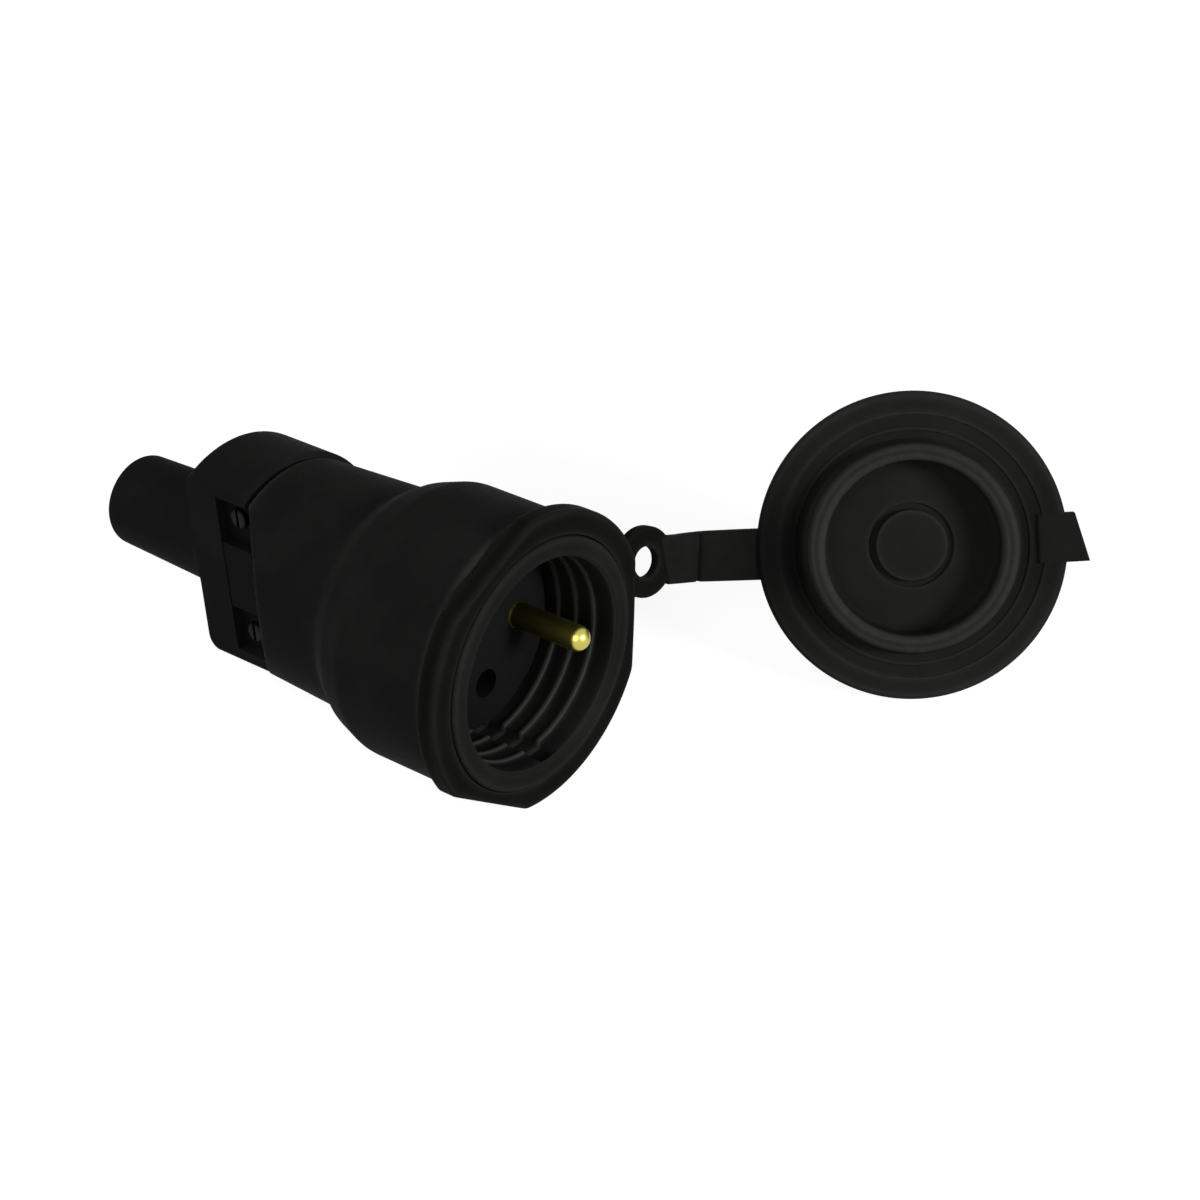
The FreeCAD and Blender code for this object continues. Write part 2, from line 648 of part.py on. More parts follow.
def make_earth_pin():
    place = core.multiply(FreeCAD.Placement(
        Vector(0, s.earth_offset.value, 0), FreeCAD.Rotation()))
    body = new_body("earth_pin", place)
    tip = s.plug_pin_radius - s.earth_dome_setback
    rear = s.contact_rear
    shoulder_front = s.earth_shoulder_depth + s.back_gap
    turn_about_x(body, "Revolution", [[
        (tip, 0),
        (tip, s.plug_pin_radius),
        (-s.recess_depth, s.plug_pin_radius),
        (-s.recess_depth, s.earth_root_radius),
        (-shoulder_front, s.earth_root_radius),
        (-shoulder_front, s.seat_radius - s.fit_gap),
        (-rear, s.seat_radius - s.fit_gap),
        (-rear, s.stem_radius),
        (-s.block_front, s.stem_radius),
        (-s.block_front, 0),
    ]])
    round_edges(body, s.plug_pin_radius * 0.97, ring_edge_at(-tip, s.plug_pin_radius))
    add_terminal_block(body, Vector(0, 1, 0))
    return body


def make_clip(label, side):
    place = core.multiply(FreeCAD.Placement(
        Vector(0, 0, s.contact_offset.value * side), FreeCAD.Rotation()))
    body = new_body(label, place)
    inside = s.plug_pin_radius + s.contact_play + s.tube_wall + s.fit_gap / 2
    front = s.contact_front + s.clip_setback
    turn_about_x(body, "Revolution", [[
        (-front, inside),
        (-front, inside + s.clip_wall),
        (-front - s.clip_length, inside + s.clip_wall),
        (-front - s.clip_length, inside),
    ]])
    slit = new_sketch(body, "YZ_Plane", -front)
    half = s.clip_slit / 2
    add_rectangle(slit, 0, inside + s.clip_wall + 1, -half, half)
    extrude(body, "Pocket", slit)
    return body


# Screws

def make_screw(label, head_radius, head_height, shank_radius, shank_length, seat, into):
    """A slotted screw: its head's underside is at seat, and its shank runs along into."""
    rotation = FreeCAD.Rotation(X_AXIS, into)
    body = new_body(label, core.multiply(FreeCAD.Placement(seat, rotation)))
    turn_about_x(body, "Revolution", [[
        (-head_height, 0),
        (-head_height, head_radius),
        (0, head_radius),
        (0, shank_radius),
        (shank_length, shank_radius),
        (shank_length, 0),
    ]])
    round_edges(body, head_height * 0.35, ring_edge_at(head_height, head_radius))
    slot = new_sketch(body, "YZ_Plane", -head_height)
    half = head_radius * 0.16
    add_rectangle(slot, -half, half, -head_radius - 1, head_radius + 1)
    extrude(body, "Pocket", slot, head_height * 0.45, reverse=True)
    return body


def make_terminal_screw(label, centre, direction):
    depth = s.block_front + s.block_length / 2
    seat = Vector(-depth.value, 0, 0) + centre + direction * (s.block_width.value / 2)
    return make_screw(label, s.terminal_head, s.terminal_head_height, s.terminal_screw,
                      s.block_width / 2 - s.wire_hole * 0.4, seat, -direction)


def make_carrier_screw(label, side):
    clock = clock_direction(s.carrier_screw_clock.value * side)
    depth = s.back_front + s.back_thickness
    seat = clock * s.carrier_screw_pitch_radius.value - X_AXIS * depth.value
    return make_screw(label, s.small_head, s.small_head_height, s.carrier_screw_radius,
                      s.back_gap + s.back_thickness + s.carrier_screw_length * 0.9, seat, X_AXIS)


def make_assembly_screw(label, side):
    clock = clock_direction(s.assembly_clock.value * side)
    depth = s.cover_depth - s.assembly_recess
    seat = clock * s.assembly_pitch_radius.value - X_AXIS * depth.value
    length = depth - s.back_front
    return make_screw(label, s.assembly_head, s.assembly_head_height, s.assembly_radius,
                      length, seat, X_AXIS)


def make_clamp_screw(label, side):
    height = s.flat_distance - s.clamp_sunk
    seat = Vector(-s.clamp_depth.value, -height.value, s.clamp_reach.value * side)
    return make_screw(label, s.clamp_head, s.clamp_head_height, s.clamp_screw_radius,
                      s.clamp_screw_length, seat, Vector(0, 1, 0))


# Rear cover: D-shaped, with the cable sleeve

def make_rear_cover():
    body = new_body("rear_cover", core)
    front = s.cover_front
    grommet_seat = s.sleeve_depth - s.grommet_length
    turn_about_x(body, "Revolution", [[
        (-front, s.cable_radius),
        (-front, s.cover_radius),
        (-s.cover_depth, s.cover_radius),
        (-s.cover_depth, s.sleeve_root_radius),
        (-s.sleeve_depth, s.sleeve_end_radius),
        (-s.sleeve_depth, s.grommet_radius + s.fit_gap),
        (-grommet_seat, s.grommet_radius + s.fit_gap),
        (-grommet_seat, s.cable_radius),
    ]])
    round_edges(body, s.cover_edge, ring_edge_at(s.cover_depth, s.cover_radius))
    round_edges(body, s.sleeve_fillet, ring_edge_at(s.cover_depth, s.sleeve_root_radius))
    round_edges(body, s.sleeve_edge, ring_edge_at(s.sleeve_depth, s.sleeve_end_radius))
    flat = new_sketch(body, "XY_Plane")
    outside = -(s.cover_radius + 1)
    add_rectangle(flat, -s.cover_depth - 1, -front + 1, outside, -s.flat_distance)
    extrude(body, "Pocket", flat, both=True)
    half = s.clamp_length / 2 + s.clamp_play
    half_width = s.clamp_width / 2 + s.clamp_play
    trough = new_sketch(body, "XZ_Plane", s.flat_distance)
    add_rectangle(trough, -s.clamp_depth - half, -front + 1, -half_width, half_width)
    extrude(body, "Pocket", trough, s.clamp_sunk + s.clamp_thickness + s.clamp_play)
    window = new_sketch(body, "XZ_Plane", s.flat_distance)
    half = s.saddle_length / 2 + s.clamp_play
    half_width = s.saddle_width / 2 + s.clamp_play
    add_rectangle(window, -s.clamp_depth - half, -s.clamp_depth + half, -half_width, half_width)
    extrude(body, "Pocket", window, s.flat_distance)
    screws = new_sketch(body, "XZ_Plane", s.flat_distance)
    for side in (1, -1):
        add_circle(screws, -s.clamp_depth, s.clamp_reach * side,
                   s.clamp_screw_radius + s.fit_gap)
    extrude(body, "Pocket", screws, s.clamp_sunk + s.clamp_screw_length + s.fit_gap * 10)
    for radius, length in ((s.assembly_radius + s.hole_play, None),
                           (s.assembly_head + s.hole_play, s.assembly_recess)):
        holes = new_sketch(body, "YZ_Plane", -s.cover_depth)
        for side in (1, -1):
            add_circle(holes, *polar(s.assembly_pitch_radius, s.assembly_clock * side), radius)
        extrude(body, "Pocket", holes, length, reverse=True)
    return body


# Clamp plate: lies in the flat's trough, with ears for the screws, a raised middle that is
# nearly flush with the flat, and a bar that presses on the cord

def make_clamp_plate():
    body = new_body("clamp_plate", core)
    top = s.flat_distance - s.clamp_sunk
    half = s.clamp_length / 2
    plate = new_sketch(body, "XZ_Plane", top)
    add_rectangle(plate, -s.clamp_depth - half, -s.clamp_depth + half,
                  -s.clamp_width / 2, s.clamp_width / 2)
    extrude(body, "Pad", plate, s.clamp_thickness, reverse=True)
    bridge = new_sketch(body, "XZ_Plane", top)
    add_rectangle(bridge, -s.clamp_depth - half, -s.clamp_depth + half,
                  -s.bridge_width / 2, s.bridge_width / 2)
    extrude(body, "Pad", bridge, s.clamp_sunk - s.bridge_sunk)
    half = s.saddle_length / 2
    bar = new_sketch(body, "XZ_Plane", top)
    add_rectangle(bar, -s.clamp_depth - half, -s.clamp_depth + half,
                  -s.saddle_width / 2, s.saddle_width / 2)
    extrude(body, "Pad", bar, top - s.saddle_tip, reverse=True)
    holes = new_sketch(body, "XZ_Plane", top)
    for side in (1, -1):
        add_circle(holes, -s.clamp_depth, s.clamp_reach * side,
                   s.clamp_screw_radius + s.hole_play)
    extrude(body, "Pocket", holes)
    return body


# Seals

def make_cover_gasket():
    body = new_body("cover_gasket", core)
    front = s.housing_depth + s.fit_gap
    rear = s.cover_front - s.fit_gap
    turn_about_x(body, "Revolution", [[
        (-front, s.gasket_inner),
        (-front, s.gasket_outer),
        (-rear, s.gasket_outer),
        (-rear, s.gasket_inner),
    ]])
    flat = new_sketch(body, "XY_Plane")
    outside = -(s.gasket_outer + 1)
    add_rectangle(flat, -rear - 1, -front + 1, outside, -s.gasket_flat)
    extrude(body, "Pocket", flat, both=True)
    holes = new_sketch(body, "YZ_Plane", -front)
    for side in (1, -1):
        add_circle(holes, *polar(s.assembly_pitch_radius, s.assembly_clock * side),
                   s.assembly_radius + s.hole_play)
    extrude(body, "Pocket", holes)
    return body


def make_cable_grommet():
    body = new_body("cable_grommet", core)
    rear = s.sleeve_depth - s.fit_gap
    front = s.sleeve_depth - s.grommet_length + s.fit_gap
    turn_about_x(body, "Revolution", [[
        (-front, s.grommet_bore),
        (-front, s.grommet_radius),
        (-rear, s.grommet_radius),
        (-rear, s.grommet_bore),
    ]])
    return body


# Tether: a ring behind the mouth, its eyelet and the ring's half of the strap

def make_tether():
    ring = new_body("tether_ring", lying.multiply(clock_turn(s.ring_clock.value)))
    inside = s.nose_radius + s.ring_play
    band = new_sketch(ring, "YZ_Plane", -s.ring_front)
    add_circle(band, 0, 0, s.ring_radius)
    add_circle(band, 0, 0, inside)
    extrude(ring, "Pad", band, s.ring_thickness, reverse=True)
    flats = new_sketch(ring, "YZ_Plane", -s.ring_front)
    add_rectangle(flats, s.ring_flat, s.ring_radius + 1, -s.ring_radius, s.ring_radius)
    flat = extrude(ring, "Pocket", flats)
    pattern = ring.newObject("PartDesign::PolarPattern", "tether_ring_flats")
    pattern.Originals = [flat]
    axis = [item for item in ring.Origin.OriginFeatures if item.Role == "X_Axis"][0]
    pattern.Axis = (axis, [""])
    pattern.Angle = 360
    pattern.Occurrences = 3
    ring.Tip = pattern
    doc.recompute()
    front = -s.ring_front.value
    rear = front - s.ring_thickness.value

    def corner(edge):
        box = edge.BoundBox
        middle = edge.valueAt((edge.FirstParameter + edge.LastParameter) / 2)
        outside = math.hypot(middle.y, middle.z) > inside.value + 0.5
        return outside and abs(box.XLength - s.ring_thickness.value) < 0.01

    round_edges(ring, s.ring_corner, corner)

    def outer_rim(edge):
        box = edge.BoundBox
        on_face = (abs(box.XMin - front) < 0.01 and abs(box.XMax - front) < 0.01) or (
            abs(box.XMin - rear) < 0.01 and abs(box.XMax - rear) < 0.01)
        middle = edge.valueAt((edge.FirstParameter + edge.LastParameter) / 2)
        return on_face and math.hypot(middle.y, middle.z) > inside.value + 0.5

    round_edges(ring, s.ring_edge, outer_rim)
    tab = new_body("tether_tab", lying.multiply(tether_frame))
    to_eyelet = tether_frame.inverse().multVec(eyelet_centre)
    eyelet_x, eyelet_y = Size(to_eyelet.x), Size(to_eyelet.y)
    half = s.strap_width / 2
    disc = new_sketch(tab, "XY_Plane")
    add_circle(disc, eyelet_x, eyelet_y, s.eyelet_radius)
    extrude(tab, "Pad", disc, s.strap_thickness, reverse=True)
    strap = new_sketch(tab, "XY_Plane")
    add_polygon(strap, [
        (-s.fold_gap, -half),
        (-s.fold_gap, half),
        (eyelet_x, eyelet_y + half),
        (eyelet_x, eyelet_y - half),
    ])
    extrude(tab, "Pad", strap, s.strap_thickness, reverse=True)
    hole = new_sketch(tab, "XY_Plane")
    add_circle(hole, eyelet_x, eyelet_y, s.eyelet_hole)
    extrude(tab, "Pocket", hole)
    tether = doc.addObject("Part::Fuse", "lid_tether")
    tether.Label = "lid_tether"
    tether.Base = ring
    tether.Tool = tab
    doc.recompute()
    return tether


# Lid: disc, plug ring, boss, pull tab and the lid's half of the strap

def quad(corners):
    return Part.makePolygon(corners + corners[:1])


def strap_half_shape():
    """The lid's half of the strap, from the flange to the fold, in the shut lid's frame."""
    half = s.strap_width.value / 2
    inner = s.fold_height.value
    outer = s.lid_gap.value + s.lid_flange.value - s.strap_drop.value
    start = s.lid_radius.value - s.lid_edge.value * 2
    root = quad([X_AXIS * inner + strap_direction * start + strap_across * half,
                 X_AXIS * inner + strap_direction * start - strap_across * half,
                 X_AXIS * outer + strap_direction * start - strap_across * half,
                 X_AXIS * outer + strap_direction * start + strap_across * half])
    thick = unit(X_AXIS - fold_line * X_AXIS.dot(fold_line)) * s.strap_thickness.value
    inward = unit(fold_line.cross(thick))
    edge = fold_point + inward * (s.fold_gap.value * (1 if inward.dot(strap_direction) < 0 else -1))
    end = quad([edge + fold_line * half,
                edge - fold_line * half,
                edge - fold_line * half + thick,
                edge + fold_line * half + thick])
    return Part.makeLoft([root, end], True, True)


def make_lid():
    frame = lying.multiply(opening)
    body = new_body("lid_disc", frame.multiply(clock_turn(s.strap_clock.value)))
    inner = s.lid_gap
    outer = s.lid_gap + s.lid_flange
    floor = s.lid_gap + s.hollow_depth
    rim = inner - s.rim_step
    lip_room = s.nose_radius + s.lip_play
    plug_end = inner - s.plug_height
    turn_about_x(body, "Revolution", [[
        (floor - s.boss_height, 0),
        (floor - s.boss_height, s.boss_radius),
        (floor + s.groove_depth, s.boss_radius),
        (floor + s.groove_depth, s.boss_radius + s.groove_width),
        (floor, s.boss_radius + s.groove_width),
        (floor, s.plug_inner_radius),
        (plug_end + s.plug_bevel, s.plug_inner_radius),
        (plug_end, s.plug_inner_radius + s.plug_bevel),
        (plug_end, s.plug_tip_radius),
        (inner, s.plug_root_radius),
        (inner, lip_room),
        (rim, lip_room),
        (rim, s.lid_radius),
        (outer, s.lid_radius),
        (outer, s.crown_radius),
        (outer + s.crown_height, s.crown_radius - s.crown_height),
        (outer + s.crown_height, 0),
    ]])
    round_edges(body, s.lid_edge, lambda edge: (
        ring_edge_at(-rim, s.lid_radius)(edge) or ring_edge_at(-outer, s.lid_radius)(edge)))
    half = s.tab_width / 2
    tab = new_sketch(body, "YZ_Plane", inner + (s.lid_flange - s.tab_thickness) / 2)
    add_polygon(tab, [
        (-s.lid_radius + s.lid_edge * 2, -half),
        (-s.lid_radius + s.lid_edge * 2, half),
        (-s.tab_reach + s.tab_slant, half),
        (-s.tab_reach, -half),
    ])
    extrude(body, "Pad", tab, s.tab_thickness)
    strap = doc.addObject("Part::Feature", "lid_strap")
    strap.Shape = strap_half_shape()
    strap.Placement = frame
    lid = doc.addObject("Part::Fuse", "lid")
    lid.Label = "lid"
    lid.Base = body
    lid.Tool = strap
    doc.recompute()
    return lid


UP = Vector(0, 0, 1)
DOWN = Vector(0, 0, -1)
EARTHWARD = Vector(0, 1, 0)

parts = [
    make_housing(),
    make_contact_carrier(),
    make_carrier_back(),
    make_tube_contact("line_contact", -1),
    make_tube_contact("neutral_contact", 1),
    make_clip("line_clip", -1),
    make_clip("neutral_clip", 1),
    make_earth_pin(),
    make_terminal_screw("line_terminal_screw", DOWN * s.contact_offset.value, DOWN),
    make_terminal_screw("neutral_terminal_screw", UP * s.contact_offset.value, UP),
    make_terminal_screw("earth_terminal_screw", EARTHWARD * s.earth_offset.value, EARTHWARD),
    make_carrier_screw("carrier_screw_left", -1),
    make_carrier_screw("carrier_screw_right", 1),
    make_assembly_screw("assembly_screw_left", -1),
    make_assembly_screw("assembly_screw_right", 1),
    make_rear_cover(),
    make_clamp_plate(),
    make_clamp_screw("clamp_screw_upper", 1),
    make_clamp_screw("clamp_screw_lower", -1),
    make_cover_gasket(),
    make_cable_grommet(),
    make_tether(),
    make_lid(),
]

doc.recompute()
for item in doc.Objects:
    if "Invalid" in item.State or "Error" in item.State:
        raise RuntimeError("%s failed: %s" % (item.Name, item.State))
for item in parts:
    if item.Shape.isNull() or not item.Shape.isValid() or len(item.Shape.Solids) != 1:
        raise RuntimeError("%s has no single valid solid" % item.Label)

os.makedirs("parts", exist_ok=True)
for item in parts:
    item.Shape.exportStep("parts/%s.step" % item.Label)
    box = item.Shape.BoundBox
    print("%-24s volume %9.1f  x %7.2f %7.2f  y %7.2f %7.2f  z %7.2f %7.2f" % (
        item.Label, item.Shape.Volume, box.XMin, box.XMax, box.YMin, box.YMax, box.ZMin, box.ZMax))
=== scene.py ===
import json
import math

import bmesh
import bpy
import numpy as np
from mathutils import Matrix, Vector


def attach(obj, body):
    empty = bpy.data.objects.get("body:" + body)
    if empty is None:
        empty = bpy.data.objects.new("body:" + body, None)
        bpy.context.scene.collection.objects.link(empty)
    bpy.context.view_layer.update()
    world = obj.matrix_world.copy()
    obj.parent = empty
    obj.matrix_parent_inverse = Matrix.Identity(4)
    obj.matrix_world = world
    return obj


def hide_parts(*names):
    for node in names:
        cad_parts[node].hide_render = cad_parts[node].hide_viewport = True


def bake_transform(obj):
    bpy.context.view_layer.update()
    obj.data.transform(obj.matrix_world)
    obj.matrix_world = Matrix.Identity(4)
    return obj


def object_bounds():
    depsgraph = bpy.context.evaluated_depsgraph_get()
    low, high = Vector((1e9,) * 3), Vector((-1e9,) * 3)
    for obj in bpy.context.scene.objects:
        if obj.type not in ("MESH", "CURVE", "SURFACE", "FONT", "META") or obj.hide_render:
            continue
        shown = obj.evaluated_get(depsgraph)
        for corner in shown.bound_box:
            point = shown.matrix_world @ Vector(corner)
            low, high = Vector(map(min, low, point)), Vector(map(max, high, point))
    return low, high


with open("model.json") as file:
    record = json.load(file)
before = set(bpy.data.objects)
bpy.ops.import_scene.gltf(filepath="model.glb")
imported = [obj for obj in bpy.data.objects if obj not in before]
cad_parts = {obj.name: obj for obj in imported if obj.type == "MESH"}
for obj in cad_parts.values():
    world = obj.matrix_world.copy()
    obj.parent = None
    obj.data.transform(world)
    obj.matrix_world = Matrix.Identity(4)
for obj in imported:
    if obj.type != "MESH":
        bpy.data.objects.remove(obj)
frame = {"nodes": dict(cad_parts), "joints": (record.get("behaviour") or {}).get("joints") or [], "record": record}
cad_low, cad_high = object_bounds()

# Sizes are in millimetres and angles in degrees, as names in capitals; what goes into a mesh is in metres.
MM = 0.001

# Edge wear with painted highlight fades over this length, arcs get a point every so many degrees, and a
# turn or cosine smaller than the last value counts as none.
WEAR_AND_HIGHLIGHT_REACH = 0.45
ARC_STEP = 10
SAME_WAY = 1e-3


# Directions and places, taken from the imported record

def unit(vector):
    """The vector divided by its length."""
    vector = np.asarray(vector, float)
    return vector / np.linalg.norm(vector)


mounts = {mount["name"]: mount for mount in frame["record"]["mounts"]}
hinge = frame["joints"][0]
mouth_axis = unit(mounts["socket_mouth"]["axis"])
pin_place = np.array(mounts["earth_pin_tip"]["pos_m"])
earthward = unit(pin_place - mouth_axis * (pin_place @ mouth_axis))
sideways = np.cross(mouth_axis, earthward)
SOCKET = np.array([mouth_axis, earthward, sideways])

# Clock angles turn about the socket's axis, from the earth pin towards sideways.
EYELET_CLOCK = 9.5
RING_CLOCK = EYELET_CLOCK - 17.0
STRAP_CLOCK = EYELET_CLOCK - 7.7


def to_row(points):
    """Socket-frame millimetres to row-frame metres."""
    return np.asarray(points, float) @ SOCKET * MM


def turn_about(points, centre, axis, degrees):
    """Turns points about a line by the rotation formula for an axis and an angle."""
    centre, axis, angle = np.asarray(centre, float), unit(axis), math.radians(degrees)
    arm = points - centre
    along = (arm @ axis)[..., None] * axis
    return (centre + along + (arm - along) * math.cos(angle)
            + np.cross(axis, arm - along) * math.sin(angle))


def open_lid(points):
    """Takes row-frame points of the shut lid to where the lid stands open."""
    return turn_about(points, hinge["pos_m"], hinge["axis"], -hinge["range_deg"][1])


def clock(degrees):
    """The direction at a clock angle: cosine towards the earth pin, sine sideways."""
    angle = math.radians(degrees)
    return np.array([0.0, math.cos(angle), math.sin(angle)])


# Meshes from arrays

def build_piece(name, points, faces, marks=None, merge=1e-7):
    """Makes a smooth mesh object from points in metres and faces, with doubles merged and faces outwards.

    The marks are named values of the points, such as edge wear with painted highlight, which the materials read.
    """
    mesh = bpy.data.meshes.new(name)
    mesh.from_pydata(np.asarray(points).tolist(), [], [list(face) for face in faces])
    for title, values in (marks or {}).items():
        mesh.attributes.new(title, "FLOAT", "POINT").data.foreach_set(
            "value", np.asarray(values, np.float32).ravel())
    work = bmesh.new()
    work.from_mesh(mesh)
    bmesh.ops.remove_doubles(work, verts=work.verts, dist=merge)
    bmesh.ops.dissolve_degenerate(work, edges=work.edges, dist=merge)
    bmesh.ops.recalc_face_normals(work, faces=work.faces)
    if work.calc_volume(signed=True) < 0:
        bmesh.ops.reverse_faces(work, faces=work.faces)
    work.to_mesh(mesh)
    work.free()
    mesh.polygons.foreach_set("use_smooth", [True] * len(mesh.polygons))
    piece = bpy.data.objects.new(name, mesh)
    bpy.context.scene.collection.objects.link(piece)
    return piece


def grid_faces(rows, columns, wrap_rows, wrap_columns):
    """Quads of a grid of points; wrapping joins its last row or column to its first."""
    index = np.arange(rows * columns).reshape(rows, columns)
    if wrap_rows:
        index = np.vstack([index, index[:1]])
    if wrap_columns:
        index = np.hstack([index, index[:, :1]])
    return np.stack([index[:-1, :-1], index[1:, :-1], index[1:, 1:], index[:-1, 1:]],
                    axis=-1).reshape(-1, 4)


def soft_outline(corners, step, closed=True):
    """Rounds each corner (x, r, radius, wear with painted highlight) of an outline with an arc tangent to both
    sides.

    Returns points about one step apart and the wear with painted highlight at each, which fades away from the
    corner.
    An open outline starts and ends on the axis.
    """
    points, marks = [], []
    count = len(corners)
    for here in range(count):
        before = np.array(corners[here - 1][:2], float)
        place = np.array(corners[here][:2], float)
        after = np.array(corners[(here + 1) % count][:2], float)
        radius, mark = corners[here][2:]
        back, forth = unit(before - place), unit(after - place)
        turn = math.pi - math.acos(np.clip(back @ forth, -1, 1))
        arc = place[None]
        if radius > 0 and turn > SAME_WAY:
            reach = radius * math.tan(turn / 2)
            start, end = place + back * reach, place + forth * reach
            centre = place + unit(back + forth) * radius / math.cos(turn / 2)
            share = np.linspace(0, 1, max(3, int(math.degrees(turn) / ARC_STEP) + 1))[:, None]
            from_start = np.sin((1 - share) * turn) * (start - centre)
            to_end = np.sin(share * turn) * (end - centre)
            arc = centre + (from_start + to_end) / math.sin(turn)
        points.append(arc)
        marks.append(np.full(len(arc), float(mark)))
    points, marks = np.vstack(points), np.concatenate(marks)
    following, next_marks = np.roll(points, -1, axis=0), np.roll(marks, -1)
    lengths = np.linalg.norm(following - points, axis=1)
    parts = np.maximum(1, np.ceil(lengths / step).astype(int))
    if not closed:
        parts[-1] = 1
    index = np.repeat(np.arange(len(points)), parts)
    share = (np.arange(len(index)) - np.repeat(np.cumsum(parts) - parts, parts)) / parts[index]
    gone, left = share * lengths[index], (1 - share) * lengths[index]
    faded = np.maximum(marks[index] * np.exp(-gone / WEAR_AND_HIGHLIGHT_REACH),
                       next_marks[index] * np.exp(-left / WEAR_AND_HIGHLIGHT_REACH))
    return points[index] + (following - points)[index] * share[:, None], faded


def soft_min(a, b, blend):
    """The smaller of two lengths, with the corner between them rounded over blend."""
    gap = np.clip(0.5 + 0.5 * (b - a) / blend, 0, 1)
    return b * (1 - gap) + a * gap - blend * gap * (1 - gap)


def revolve_outline(outline, turns, reshape=None):
    """Carries an (x, r) outline round the socket's axis; reshape may change r over x and the angle."""
    angles = np.linspace(0, 2 * math.pi, turns, endpoint=False)
    depth = np.repeat(outline[:, :1], turns, axis=1)
    radius = np.repeat(outline[:, 1:2], turns, axis=1)
    angle = np.repeat(angles[None], len(outline), axis=0)
    if reshape is not None:
        depth, radius = reshape(depth, radius, angle)
    return np.stack([depth, radius * np.cos(angle), radius * np.sin(angle)], axis=-1)


def revolved_piece(name, corners, turns, step, reshape=None, place=to_row, closed=True, painted_shading=None):
    """A solid of revolution about the socket's axis, from the rounded outline of its half section.

    Painted shading gives how far each point is toned down by painted shade, from its place.
    """
    outline, wear_and_highlight = soft_outline(corners, step, closed)
    points = revolve_outline(outline, turns, reshape)
    marks = {"wear_and_highlight": np.repeat(wear_and_highlight[:, None], turns, axis=1)}
    if painted_shading is not None:
        marks["painted_shade"] = painted_shading(points)
    rows, columns = points.shape[:2]
    return build_piece(name, place(points.reshape(-1, 3)), grid_faces(rows, columns, closed, True), marks)


def rounded_section(half_width, thickness, radius, arc_steps=4):
    """A rounded rectangle, centred across its width, with its front on the line at zero."""
    corner_angles = np.radians(np.linspace(0, 90, arc_steps + 1))
    front, back = -radius, radius - thickness
    parts = []
    for turn, (side, level) in enumerate([(1, front), (-1, front), (-1, back), (1, back)]):
        angles = corner_angles + math.pi / 2 * turn
        centre = np.array([side * (half_width - radius), level])
        parts.append(centre + radius * np.stack([np.cos(angles), np.sin(angles)], axis=-1))
    return np.vstack(parts)


def swept_band(name, centres, across, fronts, section, wear_and_highlight, painted_shade, lowered=0.0):
    """Carries a closed section along a path; each station has its own across and front direction."""
    level = section[None, :, 1] - lowered
    points = centres[:, None] + section[None, :, :1] * across[:, None] + level[..., None] * fronts[:, None]
    rows, columns = points.shape[:2]
    middle = section[:, 1].mean()
    caps = [centres[end] + fronts[end] * middle for end in (0, -1)]
    body = points.reshape(-1, 3)
    faces = grid_faces(rows, columns, False, True)
    column = np.arange(columns)
    near = np.stack([column, np.roll(column, -1), np.full(columns, len(body))], axis=-1)
    far = np.stack([column, np.roll(column, -1), np.full(columns, len(body) + 1)], axis=-1)
    far[:, :2] += (rows - 1) * columns
    mesh_faces = faces.tolist() + near.tolist() + far.tolist()
    marks = {title: np.append(np.broadcast_to(values, (rows, columns)).reshape(-1), [0.0, 0.0])
             for title, values in (("wear_and_highlight", wear_and_highlight), ("painted_shade", painted_shade))}
    return build_piece(name, np.vstack([body, caps]), mesh_faces, marks)


# Node groups shared by the materials

def new_group(name, inputs, outputs):
    """A shader node group with these inputs (name, kind, default) and outputs (name, kind)."""
    group = bpy.data.node_groups.new(name, "ShaderNodeTree")
    for title, kind, value in inputs:
        socket = group.interface.new_socket(title, in_out="INPUT", socket_type=kind)
        socket.default_value = value
    for title, kind in outputs:
        group.interface.new_socket(title, in_out="OUTPUT", socket_type=kind)
    entry = group.nodes.new("NodeGroupInput")
    leave = group.nodes.new("NodeGroupOutput")
    return group, entry, leave


def node(tree, kind, **settings):
    """Adds a node with these settings."""
    made = tree.nodes.new(kind)
    for key, value in settings.items():
        setattr(made, key, value)
    return made


def math_node(tree, operation, first, second=None, clamp=False):
    """Adds a sum of one or two numbers or outputs, and gives its result."""
    made = node(tree, "ShaderNodeMath", operation=operation, use_clamp=clamp)
    for slot_number, value in enumerate((first, second)):
        if value is None:
            continue
        if isinstance(value, (int, float)):
            made.inputs[slot_number].default_value = value
        else:
            tree.links.new(value, made.inputs[slot_number])
    return made.outputs[0]


def mix_colours(tree, factor, first, second):
    """Goes from the first colour at factor 0 to the second at factor 1."""
    made = node(tree, "ShaderNodeMix", data_type="RGBA")
    tree.links.new(factor, made.inputs["Factor"])
    tree.links.new(first, made.inputs["A"])
    tree.links.new(second, made.inputs["B"])
    return made.outputs["Result"]


def noise(tree, vector, scale, detail=3.0, roughness=0.5):
    """Cloudy noise over the object's own coordinates, from 0 to 1."""
    made = node(tree, "ShaderNodeTexNoise")
    tree.links.new(vector, made.inputs["Vector"])
    if isinstance(scale, (int, float)):
        made.inputs["Scale"].default_value = scale
    else:
        tree.links.new(scale, made.inputs["Scale"])
    made.inputs["Detail"].default_value = detail
    made.inputs["Roughness"].default_value = roughness
    return made.outputs["Fac"]


